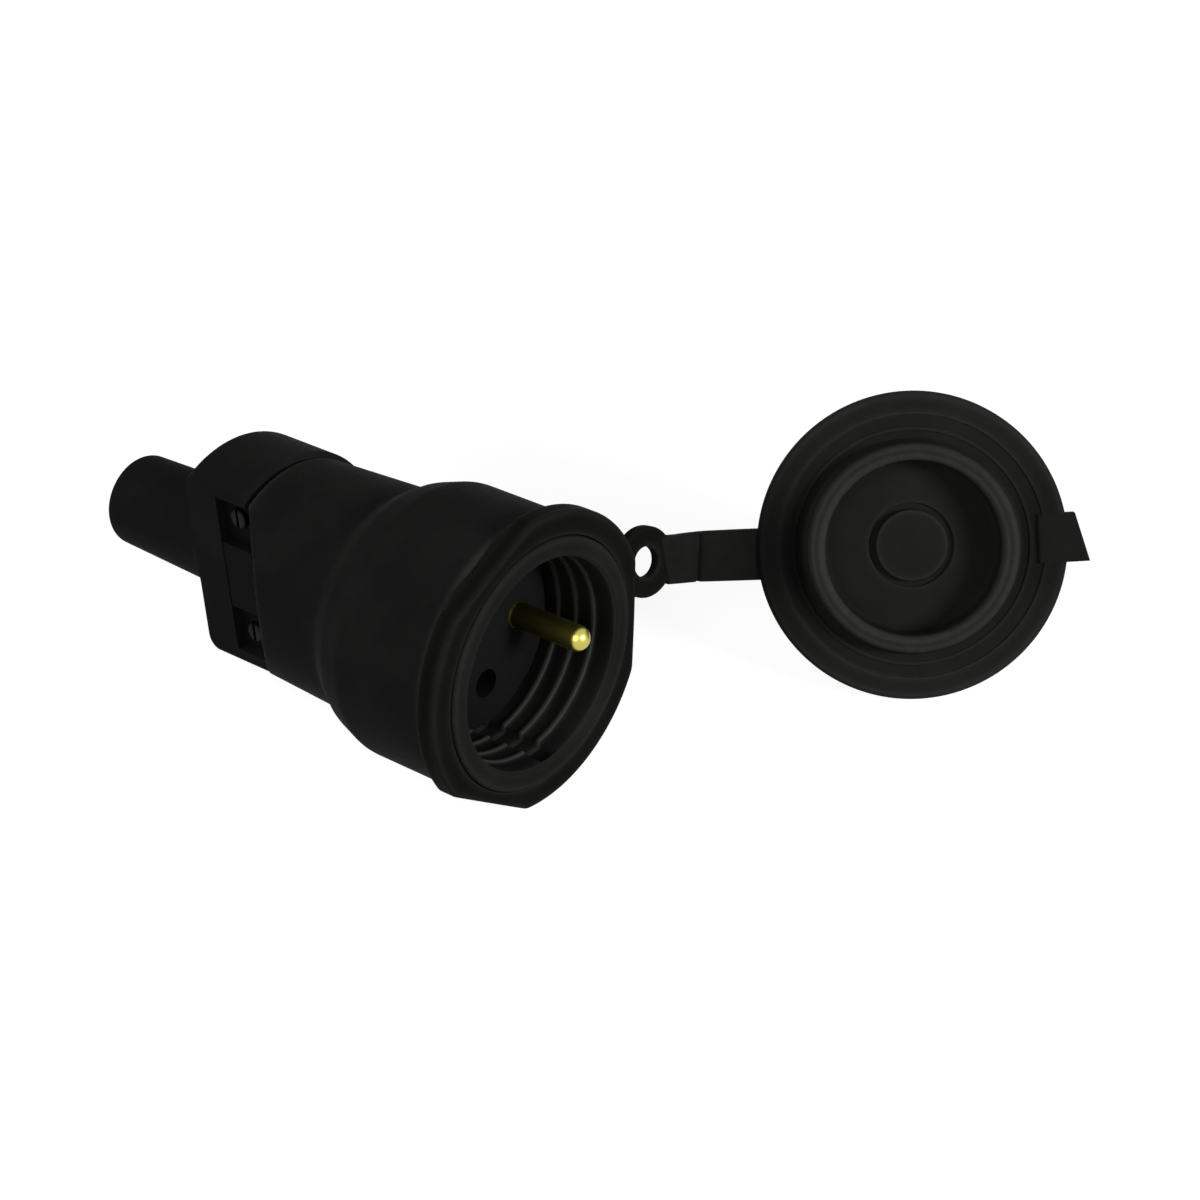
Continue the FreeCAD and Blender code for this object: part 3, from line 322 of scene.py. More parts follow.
def make_moulded_skin():
    """Moulded surface: a fine pebble, a soft waviness and clouded colour, lighter on edges marked for wear with
    painted highlight.

    Points marked with painted shade go to the painted shade colour, a tone set after the photograph.
    """
    group, entry, leave = new_group("moulded_skin", [
        ("Colour", "NodeSocketColor", (0.01, 0.01, 0.01, 1)),
        ("Bloom Colour", "NodeSocketColor", (0.03, 0.03, 0.03, 1)),
        ("Worn And Highlight Colour", "NodeSocketColor", (0.04, 0.04, 0.04, 1)),
        ("Painted Shade Colour", "NodeSocketColor", (0.003, 0.003, 0.003, 1)),
        ("Bloom", "NodeSocketFloat", 0.3),
        ("Edge", "NodeSocketFloat", 0.3),
        ("Roughness", "NodeSocketFloat", 0.6),
        ("Roughness Spread", "NodeSocketFloat", 0.12),
        ("Grain Scale", "NodeSocketFloat", 2500.0),
        ("Cloud Scale", "NodeSocketFloat", 60.0),
    ], [("Colour", "NodeSocketColor"), ("Roughness", "NodeSocketFloat"), ("Height", "NodeSocketFloat")])
    coordinates = node(group, "ShaderNodeTexCoord").outputs["Object"]
    # Edge wear with painted highlight: marked edges and crests go to the lighter colour.
    wear_and_highlight = node(group, "ShaderNodeAttribute", attribute_name="wear_and_highlight").outputs["Fac"]
    patch_start, patch_steepness, patch_floor = 0.42, 3.2, 0.5
    edge_floor, smear_middle = 0.35, 0.5
    smear_finer = 7.0
    wave_scale, wave_height = 220.0, 1.4
    wear_polish = -0.12
    grain = noise(group, coordinates, entry.outputs["Grain Scale"], 2.0, 0.6)
    cloud = noise(group, coordinates, entry.outputs["Cloud Scale"], 5.0, 0.6)
    smear_scale = math_node(group, "MULTIPLY", entry.outputs["Cloud Scale"], smear_finer)
    smear = noise(group, coordinates, smear_scale, 4.0, 0.7)
    patches = math_node(group, "SUBTRACT", cloud, patch_start)
    patches = math_node(group, "MULTIPLY", patches, patch_steepness, clamp=True)
    patches = math_node(group, "MULTIPLY", patches, math_node(group, "ADD", patch_floor, smear))
    patches = math_node(group, "MULTIPLY", patches, entry.outputs["Bloom"])
    edges = math_node(group, "MULTIPLY", wear_and_highlight, math_node(group, "ADD", edge_floor, smear))
    edges = math_node(group, "MULTIPLY", edges, entry.outputs["Edge"], clamp=True)
    clouded = mix_colours(group, patches, entry.outputs["Colour"], entry.outputs["Bloom Colour"])
    worn_and_lit = mix_colours(group, edges, clouded, entry.outputs["Worn And Highlight Colour"])
    # Painted shade: marked points go to the darker colour.
    painted_shade = node(group, "ShaderNodeAttribute", attribute_name="painted_shade").outputs["Fac"]
    toned = mix_colours(group, painted_shade, worn_and_lit, entry.outputs["Painted Shade Colour"])
    group.links.new(toned, leave.inputs["Colour"])
    spread = math_node(group, "SUBTRACT", smear, smear_middle)
    spread = math_node(group, "MULTIPLY", spread, entry.outputs["Roughness Spread"])
    polish = math_node(group, "MULTIPLY", wear_and_highlight, wear_polish)
    rough = math_node(group, "ADD", entry.outputs["Roughness"], spread)
    rough = math_node(group, "ADD", rough, polish, clamp=True)
    group.links.new(rough, leave.inputs["Roughness"])
    wave = noise(group, coordinates, wave_scale, 2.0, 0.5)
    height = math_node(group, "ADD", grain, math_node(group, "MULTIPLY", wave, wave_height))
    group.links.new(height, leave.inputs["Height"])
    return group


def make_turned_metal():
    """Turned metal: fine tool marks round the socket's axis, a clouded tone, and painted shade that makes it
    duller inwards, deeper in the socket.
    """
    group, entry, leave = new_group("turned_metal", [
        ("Colour", "NodeSocketColor", (0.8, 0.6, 0.2, 1)),
        ("Dull And Shade Colour", "NodeSocketColor", (0.4, 0.28, 0.1, 1)),
        ("Dullness", "NodeSocketFloat", 0.4),
        ("Recess Shade", "NodeSocketFloat", 0.0),
    ], [("Colour", "NodeSocketColor"), ("Height", "NodeSocketFloat")])
    coordinates = node(group, "ShaderNodeTexCoord").outputs["Object"]
    along = node(group, "ShaderNodeVectorMath", operation="DOT_PRODUCT")
    group.links.new(coordinates, along.inputs[0])
    along.inputs[1].default_value = tuple(mouth_axis)
    tool_marks, tool_mark_height, cloud_height = 26000.0, 0.3, 0.2
    recess_shade_start, recess_shade_steepness = 0.0015, 90.0
    cloud_scale = 300.0
    cloud = noise(group, coordinates, cloud_scale, 2.0, 0.5)
    rings = math_node(group, "SINE", math_node(group, "MULTIPLY", along.outputs["Value"], tool_marks))
    dull_and_shade = math_node(group, "MULTIPLY", cloud, entry.outputs["Dullness"], clamp=True)
    depth = math_node(group, "MULTIPLY", along.outputs["Value"], -1.0)
    # Painted shade: the metal goes towards the dull colour deeper in the socket.
    recess_shade = math_node(group, "SUBTRACT", depth, recess_shade_start)
    recess_shade = math_node(group, "MULTIPLY", recess_shade, recess_shade_steepness, clamp=True)
    recess_shade = math_node(group, "MULTIPLY", recess_shade, entry.outputs["Recess Shade"])
    dull_and_shade = math_node(group, "ADD", dull_and_shade, recess_shade, clamp=True)
    toned = mix_colours(group, dull_and_shade, entry.outputs["Colour"], entry.outputs["Dull And Shade Colour"])
    group.links.new(toned, leave.inputs["Colour"])
    height = math_node(group, "ADD", math_node(group, "MULTIPLY", rings, tool_mark_height),
                       math_node(group, "MULTIPLY", cloud, cloud_height))
    group.links.new(height, leave.inputs["Height"])
    return group


moulded_skin = make_moulded_skin()
turned_metal = make_turned_metal()


# Materials

SKIN_RELIEF = 0.00012
METAL_RELIEF = 0.00001
METAL_RELIEF_STRENGTH = 0.05


def start_material(name):
    """A new material with its node tree and its surface shader."""
    material = bpy.data.materials.new(name)
    material.use_nodes = True
    tree = material.node_tree
    return material, tree, tree.nodes["Principled BSDF"]


def make_moulding(name, colour, bloom_colour, worn_and_highlight_colour, bloom, edge, roughness, specular, bump,
                  grain=2500.0, cloud=60.0):
    """Moulded rubber or plastic: the moulded skin with this finish's own values, and its relief."""
    material, tree, surface = start_material(name)
    skin = node(tree, "ShaderNodeGroup", node_tree=moulded_skin)
    skin.inputs["Colour"].default_value = (*colour, 1)
    skin.inputs["Bloom Colour"].default_value = (*bloom_colour, 1)
    skin.inputs["Worn And Highlight Colour"].default_value = (*worn_and_highlight_colour, 1)
    skin.inputs["Bloom"].default_value = bloom
    skin.inputs["Edge"].default_value = edge
    skin.inputs["Roughness"].default_value = roughness
    skin.inputs["Grain Scale"].default_value = grain
    skin.inputs["Cloud Scale"].default_value = cloud
    relief = node(tree, "ShaderNodeBump")
    relief.inputs["Strength"].default_value = bump
    relief.inputs["Distance"].default_value = SKIN_RELIEF
    tree.links.new(skin.outputs["Height"], relief.inputs["Height"])
    tree.links.new(skin.outputs["Colour"], surface.inputs["Base Color"])
    tree.links.new(skin.outputs["Roughness"], surface.inputs["Roughness"])
    tree.links.new(relief.outputs["Normal"], surface.inputs["Normal"])
    surface.inputs["Specular IOR Level"].default_value = specular
    return material


def make_metal(name, colour, dull_and_shade_colour, dullness, roughness, recess_shade=0.0):
    """Turned metal with this finish's own values; its roughness is even all over."""
    material, tree, surface = start_material(name)
    metal = node(tree, "ShaderNodeGroup", node_tree=turned_metal)
    metal.inputs["Colour"].default_value = (*colour, 1)
    metal.inputs["Dull And Shade Colour"].default_value = (*dull_and_shade_colour, 1)
    metal.inputs["Dullness"].default_value = dullness
    metal.inputs["Recess Shade"].default_value = recess_shade
    relief = node(tree, "ShaderNodeBump")
    relief.inputs["Strength"].default_value = METAL_RELIEF_STRENGTH
    relief.inputs["Distance"].default_value = METAL_RELIEF
    tree.links.new(metal.outputs["Height"], relief.inputs["Height"])
    tree.links.new(metal.outputs["Colour"], surface.inputs["Base Color"])
    tree.links.new(relief.outputs["Normal"], surface.inputs["Normal"])
    surface.inputs["Roughness"].default_value = roughness
    surface.inputs["Metallic"].default_value = 1.0
    return material


shell_rubber = make_moulding(
    "shell_rubber", (0.0096, 0.0096, 0.0093), (0.0200, 0.0203, 0.0191), (0.040, 0.040, 0.038),
    bloom=0.45, edge=0.9, roughness=0.66, specular=0.01, bump=0.35)
tether_rubber = make_moulding(
    "tether_rubber", (0.0047, 0.0048, 0.0043), (0.0100, 0.0102, 0.0088), (0.017, 0.0172, 0.0153),
    bloom=0.40, edge=0.8, roughness=0.66, specular=0.01, bump=0.35, cloud=75.0)
# The lid's rubber is a little lighter than the shell's: painted light, for the more frontal light on the lid.
lid_rubber = make_moulding(
    "lid_rubber", (0.0110, 0.0111, 0.0100), (0.0198, 0.0201, 0.0177), (0.031, 0.0313, 0.0283),
    bloom=0.35, edge=0.9, roughness=0.66, specular=0.015, bump=0.35, cloud=75.0)
carrier_plastic = make_moulding(
    "carrier_plastic", (0.0066, 0.0066, 0.0067), (0.011, 0.011, 0.0115), (0.02, 0.02, 0.02),
    bloom=0.3, edge=0.3, roughness=0.50, specular=0.03, bump=0.25, grain=3500.0)
clamp_plastic = make_moulding(
    "clamp_plastic", (0.0068, 0.0068, 0.0066), (0.0110, 0.0110, 0.0106), (0.012, 0.012, 0.012),
    bloom=0.3, edge=0.3, roughness=0.55, specular=0.01, bump=0.25, grain=3500.0)
grommet_rubber = make_moulding(
    "grommet_rubber", (0.010, 0.010, 0.010), (0.02, 0.02, 0.02), (0.03, 0.03, 0.03),
    bloom=0.3, edge=0.3, roughness=0.75, specular=0.05, bump=0.6)
bright_brass = make_metal(
    "bright_brass", (0.62, 0.55, 0.13), (0.11, 0.105, 0.020), dullness=0.30, roughness=0.30, recess_shade=0.75)
plated_steel = make_metal(
    "plated_steel", (0.62, 0.62, 0.60), (0.30, 0.29, 0.27), dullness=0.5, roughness=0.32)
blackened_steel = make_metal(
    "blackened_steel", (0.012, 0.012, 0.0115), (0.004, 0.004, 0.004), dullness=1.1, roughness=0.50)


def dress(piece, material):
    """Gives the piece this one material."""
    piece.data.materials.clear()
    piece.data.materials.append(material)


def soften(cad_object, angle=32, weld_reach=1e-6):
    """Shades a CAD node smoothly except over edges sharper than the angle."""
    polygons = cad_object.data.polygons
    polygons.foreach_set("use_smooth", [True] * len(polygons))
    weld = cad_object.modifiers.new("weld", "WELD")
    weld.merge_threshold = weld_reach
    split = cad_object.modifiers.new("split", "EDGE_SPLIT")
    split.split_angle = math.radians(angle)


CAD_FINISH = {
    "contact_carrier": carrier_plastic,
    "carrier_back": carrier_plastic,
    "clamp_plate": clamp_plastic,
    "line_contact": bright_brass,
    "neutral_contact": bright_brass,
    "earth_pin": bright_brass,
    "line_clip": plated_steel,
    "neutral_clip": plated_steel,
    "cover_gasket": grommet_rubber,
    "cable_grommet": grommet_rubber,
    "housing": shell_rubber,
    "rear_cover": shell_rubber,
    "lid_tether": lid_rubber,
    "lid": lid_rubber,
    "clamp_screw_upper": blackened_steel,
    "clamp_screw_lower": blackened_steel,
}

for name, cad_object in frame["nodes"].items():
    finish = CAD_FINISH.get(name, plated_steel)
    for slot in cad_object.material_slots:
        slot.material = finish
    soften(cad_object)


# Socket shell: the rubber housing, with the collar, the ribs in the recess and the facet at the rear

MOUTH_RADIUS = 20.4
MOUTH_FLARE_DEPTH = 0.6
NOSE_RADIUS = 23.6
COLLAR_FRONT = 4.8
COLLAR_RADIUS = 26.2
COLLAR_BACK = 25.5
SHOULDER_DEPTH = 30.8
SHOULDER_RADIUS = 24.5
BODY_FRONT = 35.0
BODY_FRONT_RADIUS = 21.75
BODY_REAR_RADIUS = 20.6
HOUSING_LENGTH = 60.2
REAR_HOLE_RADIUS = 8.8
REAR_WEB_DEPTH = 55.0
CAVITY_BACK = 50.0
CAVITY_RADIUS = 18.0
RECESS_BACK = 19.2
RECESS_RADIUS = 19.9
RIB_DEPTHS = 5.2 + 4.15 * np.arange(4)
RIB_HEIGHT = 0.5
RIB_FOOT = 0.65
RIB_TOP = 0.28
RIB_ROUND = 0.12
# Rib crests carry wear with a painted highlight.
RIB_WEAR_AND_HIGHLIGHT = 1.8
CHANNEL_WIDTH = 4.0
CHANNEL_BOTTOM = 20.9
CHANNEL_EDGE = 0.15
CHANNEL_LEAST_SINE = 0.2
WALL_MARGIN = 0.1
FACET_REACH = 10.2
FACET_LENGTH = 11.6
FACET_RISE = 11.7
FACET_BLEND = 0.3


def shell_corners():
    """Corners of the shell's half section: depth, radius, rounding, and wear with painted highlight of each."""
    corners = [
        (0, MOUTH_RADIUS, 0.3, 0.1),
        (0, NOSE_RADIUS, 0.6, 0.25),
        (-COLLAR_FRONT, NOSE_RADIUS, 0, 0),
        (-COLLAR_FRONT, COLLAR_RADIUS, 1.2, 0.5),
        (-COLLAR_BACK, COLLAR_RADIUS, 5.0, 0),
        (-SHOULDER_DEPTH, SHOULDER_RADIUS, 5.0, 0),
        (-BODY_FRONT, BODY_FRONT_RADIUS, 2.5, 0),
        (-HOUSING_LENGTH, BODY_REAR_RADIUS, 0.4, 0.7),
        (-HOUSING_LENGTH, REAR_HOLE_RADIUS, 0, 0),
        (-REAR_WEB_DEPTH, REAR_HOLE_RADIUS, 0, 0),
        (-CAVITY_BACK, CAVITY_RADIUS, 0, 0),
        (-RECESS_BACK, CAVITY_RADIUS, 0, 0),
        (-RECESS_BACK, RECESS_RADIUS, 0, 0),
    ]
    for depth in RIB_DEPTHS[::-1]:
        corners += [
            (-depth - RIB_FOOT, RECESS_RADIUS, 0, 0),
            (-depth - RIB_TOP, RECESS_RADIUS - RIB_HEIGHT, RIB_ROUND, RIB_WEAR_AND_HIGHLIGHT),
            (-depth + RIB_TOP, RECESS_RADIUS - RIB_HEIGHT, RIB_ROUND, RIB_WEAR_AND_HIGHLIGHT),
            (-depth + RIB_FOOT, RECESS_RADIUS, 0, 0),
        ]
    return corners + [(-MOUTH_FLARE_DEPTH, RECESS_RADIUS, 0.3, 0.3)]


def shape_shell(depth, radius, angle):
    """Cuts the slanted facet on the side away from the earth pin, and the two channels across the ribs.

    The facet is a plane, so its radius is its distance over the cosine of the angle from its middle.
    A channel's bottom is another, at a distance over the sine.
    """
    reach = FACET_REACH + (depth + HOUSING_LENGTH) * FACET_RISE / FACET_LENGTH
    away = np.maximum(-np.cos(angle), SAME_WAY)
    radius = np.where(radius > FACET_REACH, soft_min(radius, reach / away, FACET_BLEND), radius)
    behind_mouth = depth < -MOUTH_FLARE_DEPTH - WALL_MARGIN
    in_wall = behind_mouth & (depth > -RECESS_BACK + WALL_MARGIN) & (radius < MOUTH_RADIUS)
    beside = np.abs(np.cos(angle)) * RECESS_RADIUS
    share = np.clip((CHANNEL_WIDTH / 2 - beside) / CHANNEL_EDGE + 0.5, 0, 1) * in_wall
    bottom = CHANNEL_BOTTOM / np.maximum(np.abs(np.sin(angle)), CHANNEL_LEAST_SINE)
    return depth, radius + (bottom - radius) * share


def make_socket_shell():
    """The housing's skin inside and out: its half section revolved, then cut by the facet and channels."""
    piece = revolved_piece("socket_shell", shell_corners(), turns=360, step=0.8, reshape=shape_shell)
    dress(piece, shell_rubber)
    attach(piece, "connector")
    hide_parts("housing")


make_socket_shell()


# Tether: the ring with three flats, its eyelet and the strap that carries the lid

RING_FRONT = 0.6
RING_THICKNESS = 4.0
RING_BORE = 23.8
RING_RADIUS = 28.4
RING_FLAT = 26.1
RING_BLEND = 0.35
EYELET_RADIUS = 6.6
EYELET_HOLE = 2.9
STRAP_THICKNESS = 2.1
STRAP_HALF_WIDTH = 4.7
STRAP_PROUD = 0.02


def shape_ring(depth, radius, angle):
    """Draws the outer wall in to three flats.

    A flat's radius is its distance over the cosine of the angle from its middle.
    """
    from_flat = np.radians(RING_CLOCK) - angle
    from_flat = (from_flat + math.pi / 3) % (2 * math.pi / 3) - math.pi / 3
    outer = soft_min(np.full_like(angle, RING_RADIUS), RING_FLAT / np.cos(from_flat), RING_BLEND)
    return depth, RING_BORE + (radius - RING_BORE) * (outer - RING_BORE) / (RING_RADIUS - RING_BORE)


fold_point = np.array(hinge["pos_m"])
fold_line = -unit(hinge["axis"])
tether_front = unit(mounts["tether_eyelet"]["axis"])
tether_out = np.cross(fold_line, tether_front)
eyelet_front = np.array(mounts["tether_eyelet"]["pos_m"]) + tether_front * STRAP_THICKNESS / 2 * MM


def beside_eyelet(points):
    """Eyelet millimetres (along its axis, outwards, along the fold line) to row-frame metres."""
    axes = np.array([tether_front, tether_out, fold_line])
    return eyelet_front + np.asarray(points) @ axes * MM


def make_tether_ring():
    """The ring that sits behind the mouth and its eyelet, both revolved about their own axes."""
    rear = -RING_FRONT - RING_THICKNESS
    ring = revolved_piece("tether_ring", [
        (-RING_FRONT, RING_BORE, 0.25, 0.9),
        (-RING_FRONT, RING_RADIUS, 0.7, 0.7),
        (rear, RING_RADIUS, 0.7, 0.4),
        (rear, RING_BORE, 0, 0),
    ], turns=432, step=0.5, reshape=shape_ring)
    eyelet = revolved_piece("tether_eyelet", [
        (0, EYELET_HOLE, 0.3, 0.7),
        (0, EYELET_RADIUS, 0.35, 0.3),
        (-STRAP_THICKNESS, EYELET_RADIUS, 0.35, 0.3),
        (-STRAP_THICKNESS, EYELET_HOLE, 0.3, 0.3),
    ], turns=120, step=0.4, place=beside_eyelet)
    for piece in (ring, eyelet):
        dress(piece, tether_rubber)
        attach(piece, "connector")
    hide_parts("lid_tether")


LID_RADIUS = 28.4
FLANGE_FACE = 0.55
FLANGE_BACK = 3.35
STRAP_ROOT = 26.6
STRAP_FACE = 1.0
CREASE_PLACE = 1.4
CREASE_LEAN = 0.22
CREASE_DEPTH = 0.5
CREASE_WIDTH = 0.28
CREASE_SPREAD = 3.5
STRAP_PAINTED_SHADE = 0.7
STRAP_START = 0.42
FOLD_REACH = 1.8
BLEND_REACH = 2.2
EDGE_ROUND = 0.3

strap_way = clock(STRAP_CLOCK)
lid_front = -(open_lid(to_row([1.0, 0, 0])) - open_lid(to_row([0, 0, 0]))) / MM
lid_across = (open_lid(to_row(clock(STRAP_CLOCK + 90))) - open_lid(to_row([0, 0, 0]))) / MM


def make_lid_strap():
    """The strap from the eyelet to the lid: two straight legs joined by a parabola at the fold.

    Its across direction and its front turn from the tether's to the lid's over the length, and a
    bell-shaped groove marks the crease.
    """
    root = open_lid(to_row(np.array([STRAP_FACE, 0, 0]) + strap_way * STRAP_ROOT))
    start = eyelet_front + (fold_point - eyelet_front) * STRAP_START
    before = fold_point - unit(fold_point - start) * FOLD_REACH * MM
    after = fold_point + unit(root - fold_point) * FOLD_REACH * MM
    share = np.linspace(0, 1, 25)[:, None]
    curve = (1 - share) ** 2 * before + 2 * share * (1 - share) * fold_point + share ** 2 * after
    leg_in = start + (before - start) * np.linspace(0, 1, 12)[:-1, None]
    leg_out = after + (root - after) * np.linspace(0, 1, 22)[1:, None]
    centres = np.vstack([leg_in, curve, leg_out])
    along = np.concatenate([[0], np.cumsum(np.linalg.norm(np.diff(centres, axis=0), axis=1))]) / MM
    fold_at = along[len(leg_in) + len(curve) // 2]
    turned = np.clip((along - fold_at + FOLD_REACH) / (2 * FOLD_REACH), 0, 1)[:, None]
    skewed = np.clip((along - fold_at - FOLD_REACH) / (along[-1] - fold_at - FOLD_REACH), 0, 1)[:, None]
    tangent = np.gradient(centres, axis=0)
    tangent /= np.linalg.norm(tangent, axis=1)[:, None]
    lid_side_front = unit(lid_front - fold_line * (lid_front @ fold_line))
    fronts = tether_front * (1 - turned) + lid_side_front * turned
    fronts = fronts * (1 - skewed) + lid_front * skewed
    fronts /= np.linalg.norm(fronts, axis=1)[:, None]
    past_crease = along - fold_at - CREASE_PLACE
    lean = CREASE_LEAN * np.exp(-(past_crease / CREASE_SPREAD) ** 2)[:, None]
    across = fold_line * (1 - skewed) + lid_across * skewed
    across = across / np.linalg.norm(across, axis=1)[:, None] + tangent * lean
    section = rounded_section(STRAP_HALF_WIDTH, STRAP_THICKNESS + 2 * STRAP_PROUD, EDGE_ROUND)
    section = (section + [0, STRAP_PROUD]) * MM
    groove = CREASE_DEPTH * np.exp(-(past_crease / CREASE_WIDTH) ** 2)[:, None] * MM
    front_side = section[:, 1] > -STRAP_THICKNESS / 2 * MM
    # Edge wear with painted highlight, stronger on the strap's front.
    edge_wear_and_highlight = np.where(front_side, 0.6, 0.2)
    # Painted shade: the strap darkens towards the lid.
    painted_shade = STRAP_PAINTED_SHADE * np.clip((along - fold_at) / (along[-1] - fold_at), 0, 1)[:, None] ** 2
    piece = swept_band("lid_strap", centres, across, fronts, section, edge_wear_and_highlight, painted_shade,
                       groove * front_side)
    dress(piece, tether_rubber)
    start = fold_point - tether_out * BLEND_REACH * MM
    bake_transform(piece)


make_tether_ring()
make_lid_strap()


# Sealing lid: flange with the groove for the mouth's lip, plug ring, boss, crown and pull tab

RIM_FACE = 0.2
CROWN_RADIUS = 21.5
CROWN_HEIGHT = 1.6
PLUG_RADIUS = 19.8
PLUG_ROOT_RADIUS = 19.65
PLUG_TIP_RADIUS = 19.0
PLUG_BORE = 16.1
PLUG_HEIGHT = 4.3
PLUG_NECK_TOP = 0.9
PLUG_NECK_FOOT = 0.7
HOLLOW_FLOOR = 2.85
BOSS_RADIUS = 6.6
BOSS_FACE = 2.05
BOSS_GROOVE_WIDTH = 1.2
BOSS_GROOVE_DEPTH = 0.6
BEAD_INSIDE = 21.2
BEAD_OUTSIDE = 22.1
BEAD_HEIGHT = 0.25
BEAD_SIDE = 0.2
LIP_GROOVE_RADIUS = 24.2
LIP_GROOVE_SLOPE = 0.1
TAB_HALF_WIDTH = 4.5
TAB_REACH = 31.0
TAB_SLANT = 0.267
TAB_ROOT = 22.9
TAB_FRONT = 0.16
TAB_BACK = 3.05
# Painted shade on the flange, strongest towards the strap.
PAINTED_SHADE_AT_STRAP = 0.9
PAINTED_SHADE_AT_TAB = 0.5
SHADE_START_WIDTH = 0.8
SHADE_FALL_AT_STRAP = 5
SHADE_FALL_AT_TAB = 7


def lid_corners():
    """Corners of the lid's half section, from the boss outwards and back over the crown, as for the shell."""
    plug_end = FLANGE_FACE - PLUG_HEIGHT
    return [
        (BOSS_FACE, 0, 0, 0),
        (BOSS_FACE, BOSS_RADIUS, 0.25, 0.5),
        (HOLLOW_FLOOR + BOSS_GROOVE_DEPTH, BOSS_RADIUS, 0, 0),
        (HOLLOW_FLOOR + BOSS_GROOVE_DEPTH, BOSS_RADIUS + BOSS_GROOVE_WIDTH, 0, 0),
        (HOLLOW_FLOOR, BOSS_RADIUS + BOSS_GROOVE_WIDTH, 0.15, 0.3),
        (HOLLOW_FLOOR, PLUG_BORE, 1.0, 0),
        (plug_end, PLUG_BORE, 1.1, 1.0),
        (plug_end, PLUG_TIP_RADIUS, 0.9, 0.9),
        (FLANGE_FACE - PLUG_NECK_TOP, PLUG_ROOT_RADIUS, 0, 0.2),
        (FLANGE_FACE - PLUG_NECK_FOOT, PLUG_RADIUS, 0, 0.2),
        (FLANGE_FACE, PLUG_RADIUS, 0.3, 0),
        (FLANGE_FACE, BEAD_INSIDE, 0.1, 0),
        (FLANGE_FACE - BEAD_HEIGHT, BEAD_INSIDE + BEAD_SIDE, 0.08, 0.3),
        (FLANGE_FACE - BEAD_HEIGHT, BEAD_OUTSIDE - BEAD_SIDE, 0.08, 0.3),
        (FLANGE_FACE, BEAD_OUTSIDE, 0.1, 0),
        (FLANGE_FACE, LIP_GROOVE_RADIUS, 0, 0),
        (RIM_FACE, LIP_GROOVE_RADIUS + LIP_GROOVE_SLOPE, 0.12, 0.6),
        (RIM_FACE, LID_RADIUS, 0.9, 0.5),
        (FLANGE_BACK, LID_RADIUS, 0.9, 0.5),
        (FLANGE_BACK, CROWN_RADIUS, 0.8, 0),
        (FLANGE_BACK + CROWN_HEIGHT, CROWN_RADIUS - CROWN_HEIGHT, 0.8, 0.5),
        (FLANGE_BACK + CROWN_HEIGHT, 0, 0, 0),
    ]


def flange_painted_shade(points):
    """Paints shade on the flange towards the strap, and less towards the tab, as it looks in the photograph.

    This is painted shade: there the flange is darker from how the light falls on it. The tone falls with a power
    of the cosine of the angle from the strap, and starts over a short way outside the plug ring.
    """
    along = points @ strap_way
    reach = np.hypot(points[..., 1], points[..., 2])
    towards = along / np.maximum(reach, 1e-6)
    outside = np.clip((reach - PLUG_RADIUS) / SHADE_START_WIDTH, 0, 1)
    at_strap = PAINTED_SHADE_AT_STRAP * np.clip(towards, 0, 1) ** SHADE_FALL_AT_STRAP
    at_tab = PAINTED_SHADE_AT_TAB * np.clip(-towards, 0, 1) ** SHADE_FALL_AT_TAB
    return outside * (at_strap + at_tab)


def place_open(points):
    """Shut-lid millimetres to row-frame metres of the open lid."""
    return open_lid(to_row(points))


def make_sealing_lid():
    """The lid as a revolved disc, and its pull tab as a flat band with a slanted end."""
    disc = revolved_piece("sealing_lid", lid_corners(), turns=400, step=0.5, place=place_open,
                          closed=False, painted_shading=flange_painted_shade)
    reach = np.linspace(TAB_ROOT, TAB_REACH, 16)[:, None]
    centres = np.array([TAB_FRONT, 0, 0]) - strap_way * reach
    lean = np.clip((reach - STRAP_ROOT) / (TAB_REACH - STRAP_ROOT), 0, 1) * TAB_SLANT
    across = clock(STRAP_CLOCK + 90) + strap_way * lean
    fronts = np.repeat([[-1.0, 0, 0]], len(reach), axis=0)
    section = rounded_section(TAB_HALF_WIDTH, TAB_BACK - TAB_FRONT, EDGE_ROUND)
    points_open = place_open(centres)
    turn = place_open(np.eye(3)) - place_open(np.zeros((1, 3)))
    # Painted shade over the whole pull tab.
    tab = swept_band("pull_tab", points_open, across @ turn, fronts @ turn, section, 0.3, PAINTED_SHADE_AT_TAB)
    for piece in (disc, tab):
        dress(piece, lid_rubber)
        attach(piece, "lid")
    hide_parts("lid")


make_sealing_lid()


# Camera: direction, lean and focal length fitted to the photograph in a 1200 by 1200 frame. Its distance,
# half a metre from the mouth, was chosen: the fit is about as good from 0.3 to 1.2 m.

FILM_WIDTH = 36.0
FRAME_PIXELS = 1200
FOCAL_PIXELS = 2855.354


def make_camera():
    """The rows are the camera's right, up and backward directions; the place is in metres."""
    right = np.array([0.7828991, 0.6181292, -0.0706064])
    upward = np.array([-0.3756835, 0.5601593, 0.7382977])
    backward = np.array([0.4959142, -0.5514870, 0.6707691])
    place = np.array([0.2512149, -0.2633130, 0.3431959])
    camera = bpy.data.objects.new("photo_camera", bpy.data.cameras.new("photo_camera"))
    turned = Matrix((right, upward, backward)).transposed()
    camera.matrix_world = Matrix.Translation(Vector(place)) @ turned.to_4x4()
    camera.data.sensor_width = FILM_WIDTH
    camera.data.lens = FILM_WIDTH * FOCAL_PIXELS / FRAME_PIXELS
    camera.data.clip_start = 0.01
    camera.data.clip_end = 20.0
    bpy.context.scene.collection.objects.link(camera)
    bpy.context.scene.camera = camera


make_camera()


# Floor, light and background

FLOOR_HALF_WIDTH = 3.0
FLOOR_GAP = 0.0001
FLOOR_TONE = 0.25
FLOOR_GLOW = 0.90
WORLD_SEEN = 0.97
WORLD_LIGHT = 0.03


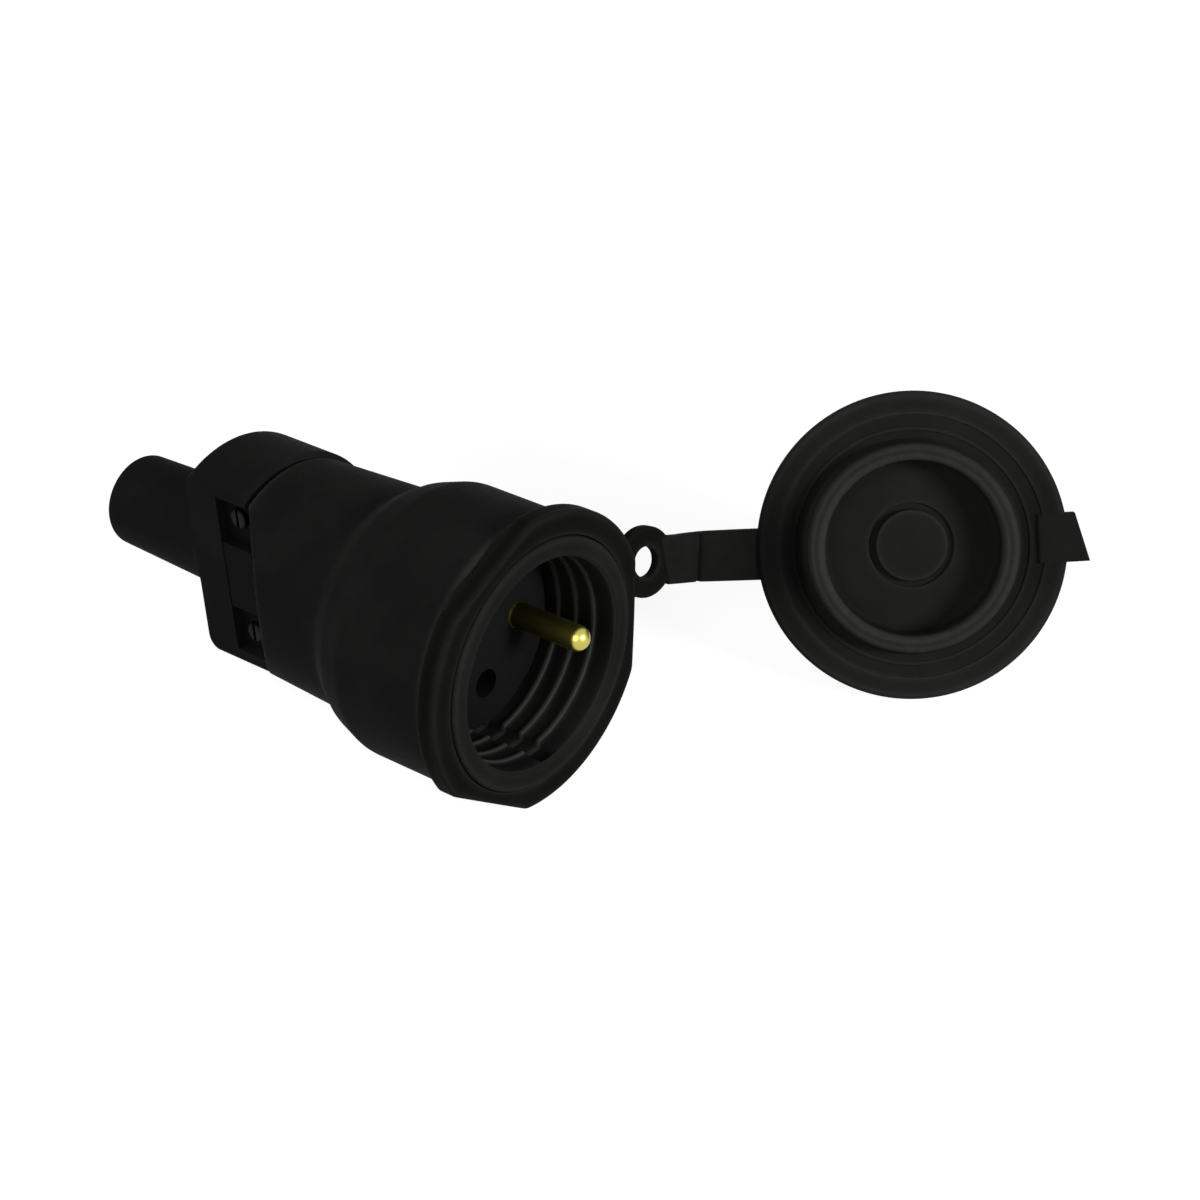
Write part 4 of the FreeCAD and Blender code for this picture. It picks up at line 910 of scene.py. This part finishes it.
def make_floor():
    """A pale level floor just under the lowest point; it glows to white for the camera and in gloss alone."""
    half, height = FLOOR_HALF_WIDTH, cad_low.z - FLOOR_GAP
    corners = np.array([[x * half, y * half, height] for x, y in ((-1, -1), (1, -1), (1, 1), (-1, 1))])
    floor = build_piece("floor", corners, np.array([[0, 1, 2, 3]]))
    material, tree, surface = start_material("pale_floor")
    surface.inputs["Base Color"].default_value = (FLOOR_TONE, FLOOR_TONE, FLOOR_TONE, 1)
    surface.inputs["Roughness"].default_value = 0.9
    surface.inputs["Specular IOR Level"].default_value = 0.0
    rays = node(tree, "ShaderNodeLightPath")
    seen = math_node(tree, "MAXIMUM", rays.outputs["Is Camera Ray"], rays.outputs["Is Glossy Ray"])
    glow = math_node(tree, "MULTIPLY", seen, FLOOR_GLOW)
    surface.inputs["Emission Color"].default_value = (1, 1, 1, 1)
    tree.links.new(glow, surface.inputs["Emission Strength"])
    dress(floor, material)


def make_world():
    """A dim even light on the object; seen directly or in gloss and glass, the background is white."""
    world = bpy.data.worlds.new("studio")
    world.use_nodes = True
    tree = world.node_tree
    background = tree.nodes["Background"]
    rays = node(tree, "ShaderNodeLightPath")
    seen = math_node(tree, "MAXIMUM", rays.outputs["Is Camera Ray"], rays.outputs["Is Glossy Ray"])
    seen = math_node(tree, "MAXIMUM", seen, rays.outputs["Is Transmission Ray"])
    strength = math_node(tree, "MULTIPLY", seen, WORLD_SEEN)
    strength = math_node(tree, "ADD", strength, WORLD_LIGHT)
    background.inputs["Color"].default_value = (1, 1, 1, 1)
    tree.links.new(strength, background.inputs["Strength"])
    bpy.context.scene.world = world


def make_lamp(name, place, aim, size, power):
    """A square softbox of this size in metres and power in watts, at place and turned towards aim."""
    data = bpy.data.lights.new(name, "AREA")
    data.shape = "SQUARE"
    data.size = size
    data.energy = power
    lamp = bpy.data.objects.new(name, data)
    turned = (Vector(aim) - Vector(place)).to_track_quat("-Z", "Y").to_matrix()
    lamp.matrix_world = Matrix.Translation(Vector(place)) @ turned.to_4x4()
    bpy.context.scene.collection.objects.link(lamp)


make_floor()
make_world()
make_lamp("key_softbox", place=(0.80, 0.12, 0.34), aim=(0.0, 0.02, 0.0), size=0.22, power=6.5)
make_lamp("fill_softbox", place=(0.22, -0.58, 0.52), aim=(-0.02, 0.0, 0.0), size=0.6, power=3.2)
make_lamp("rear_softbox", place=(-0.62, -0.35, 0.40), aim=(-0.02, 0.0, 0.0), size=0.5, power=1.9)

bpy.context.scene.view_settings.view_transform = "Standard"
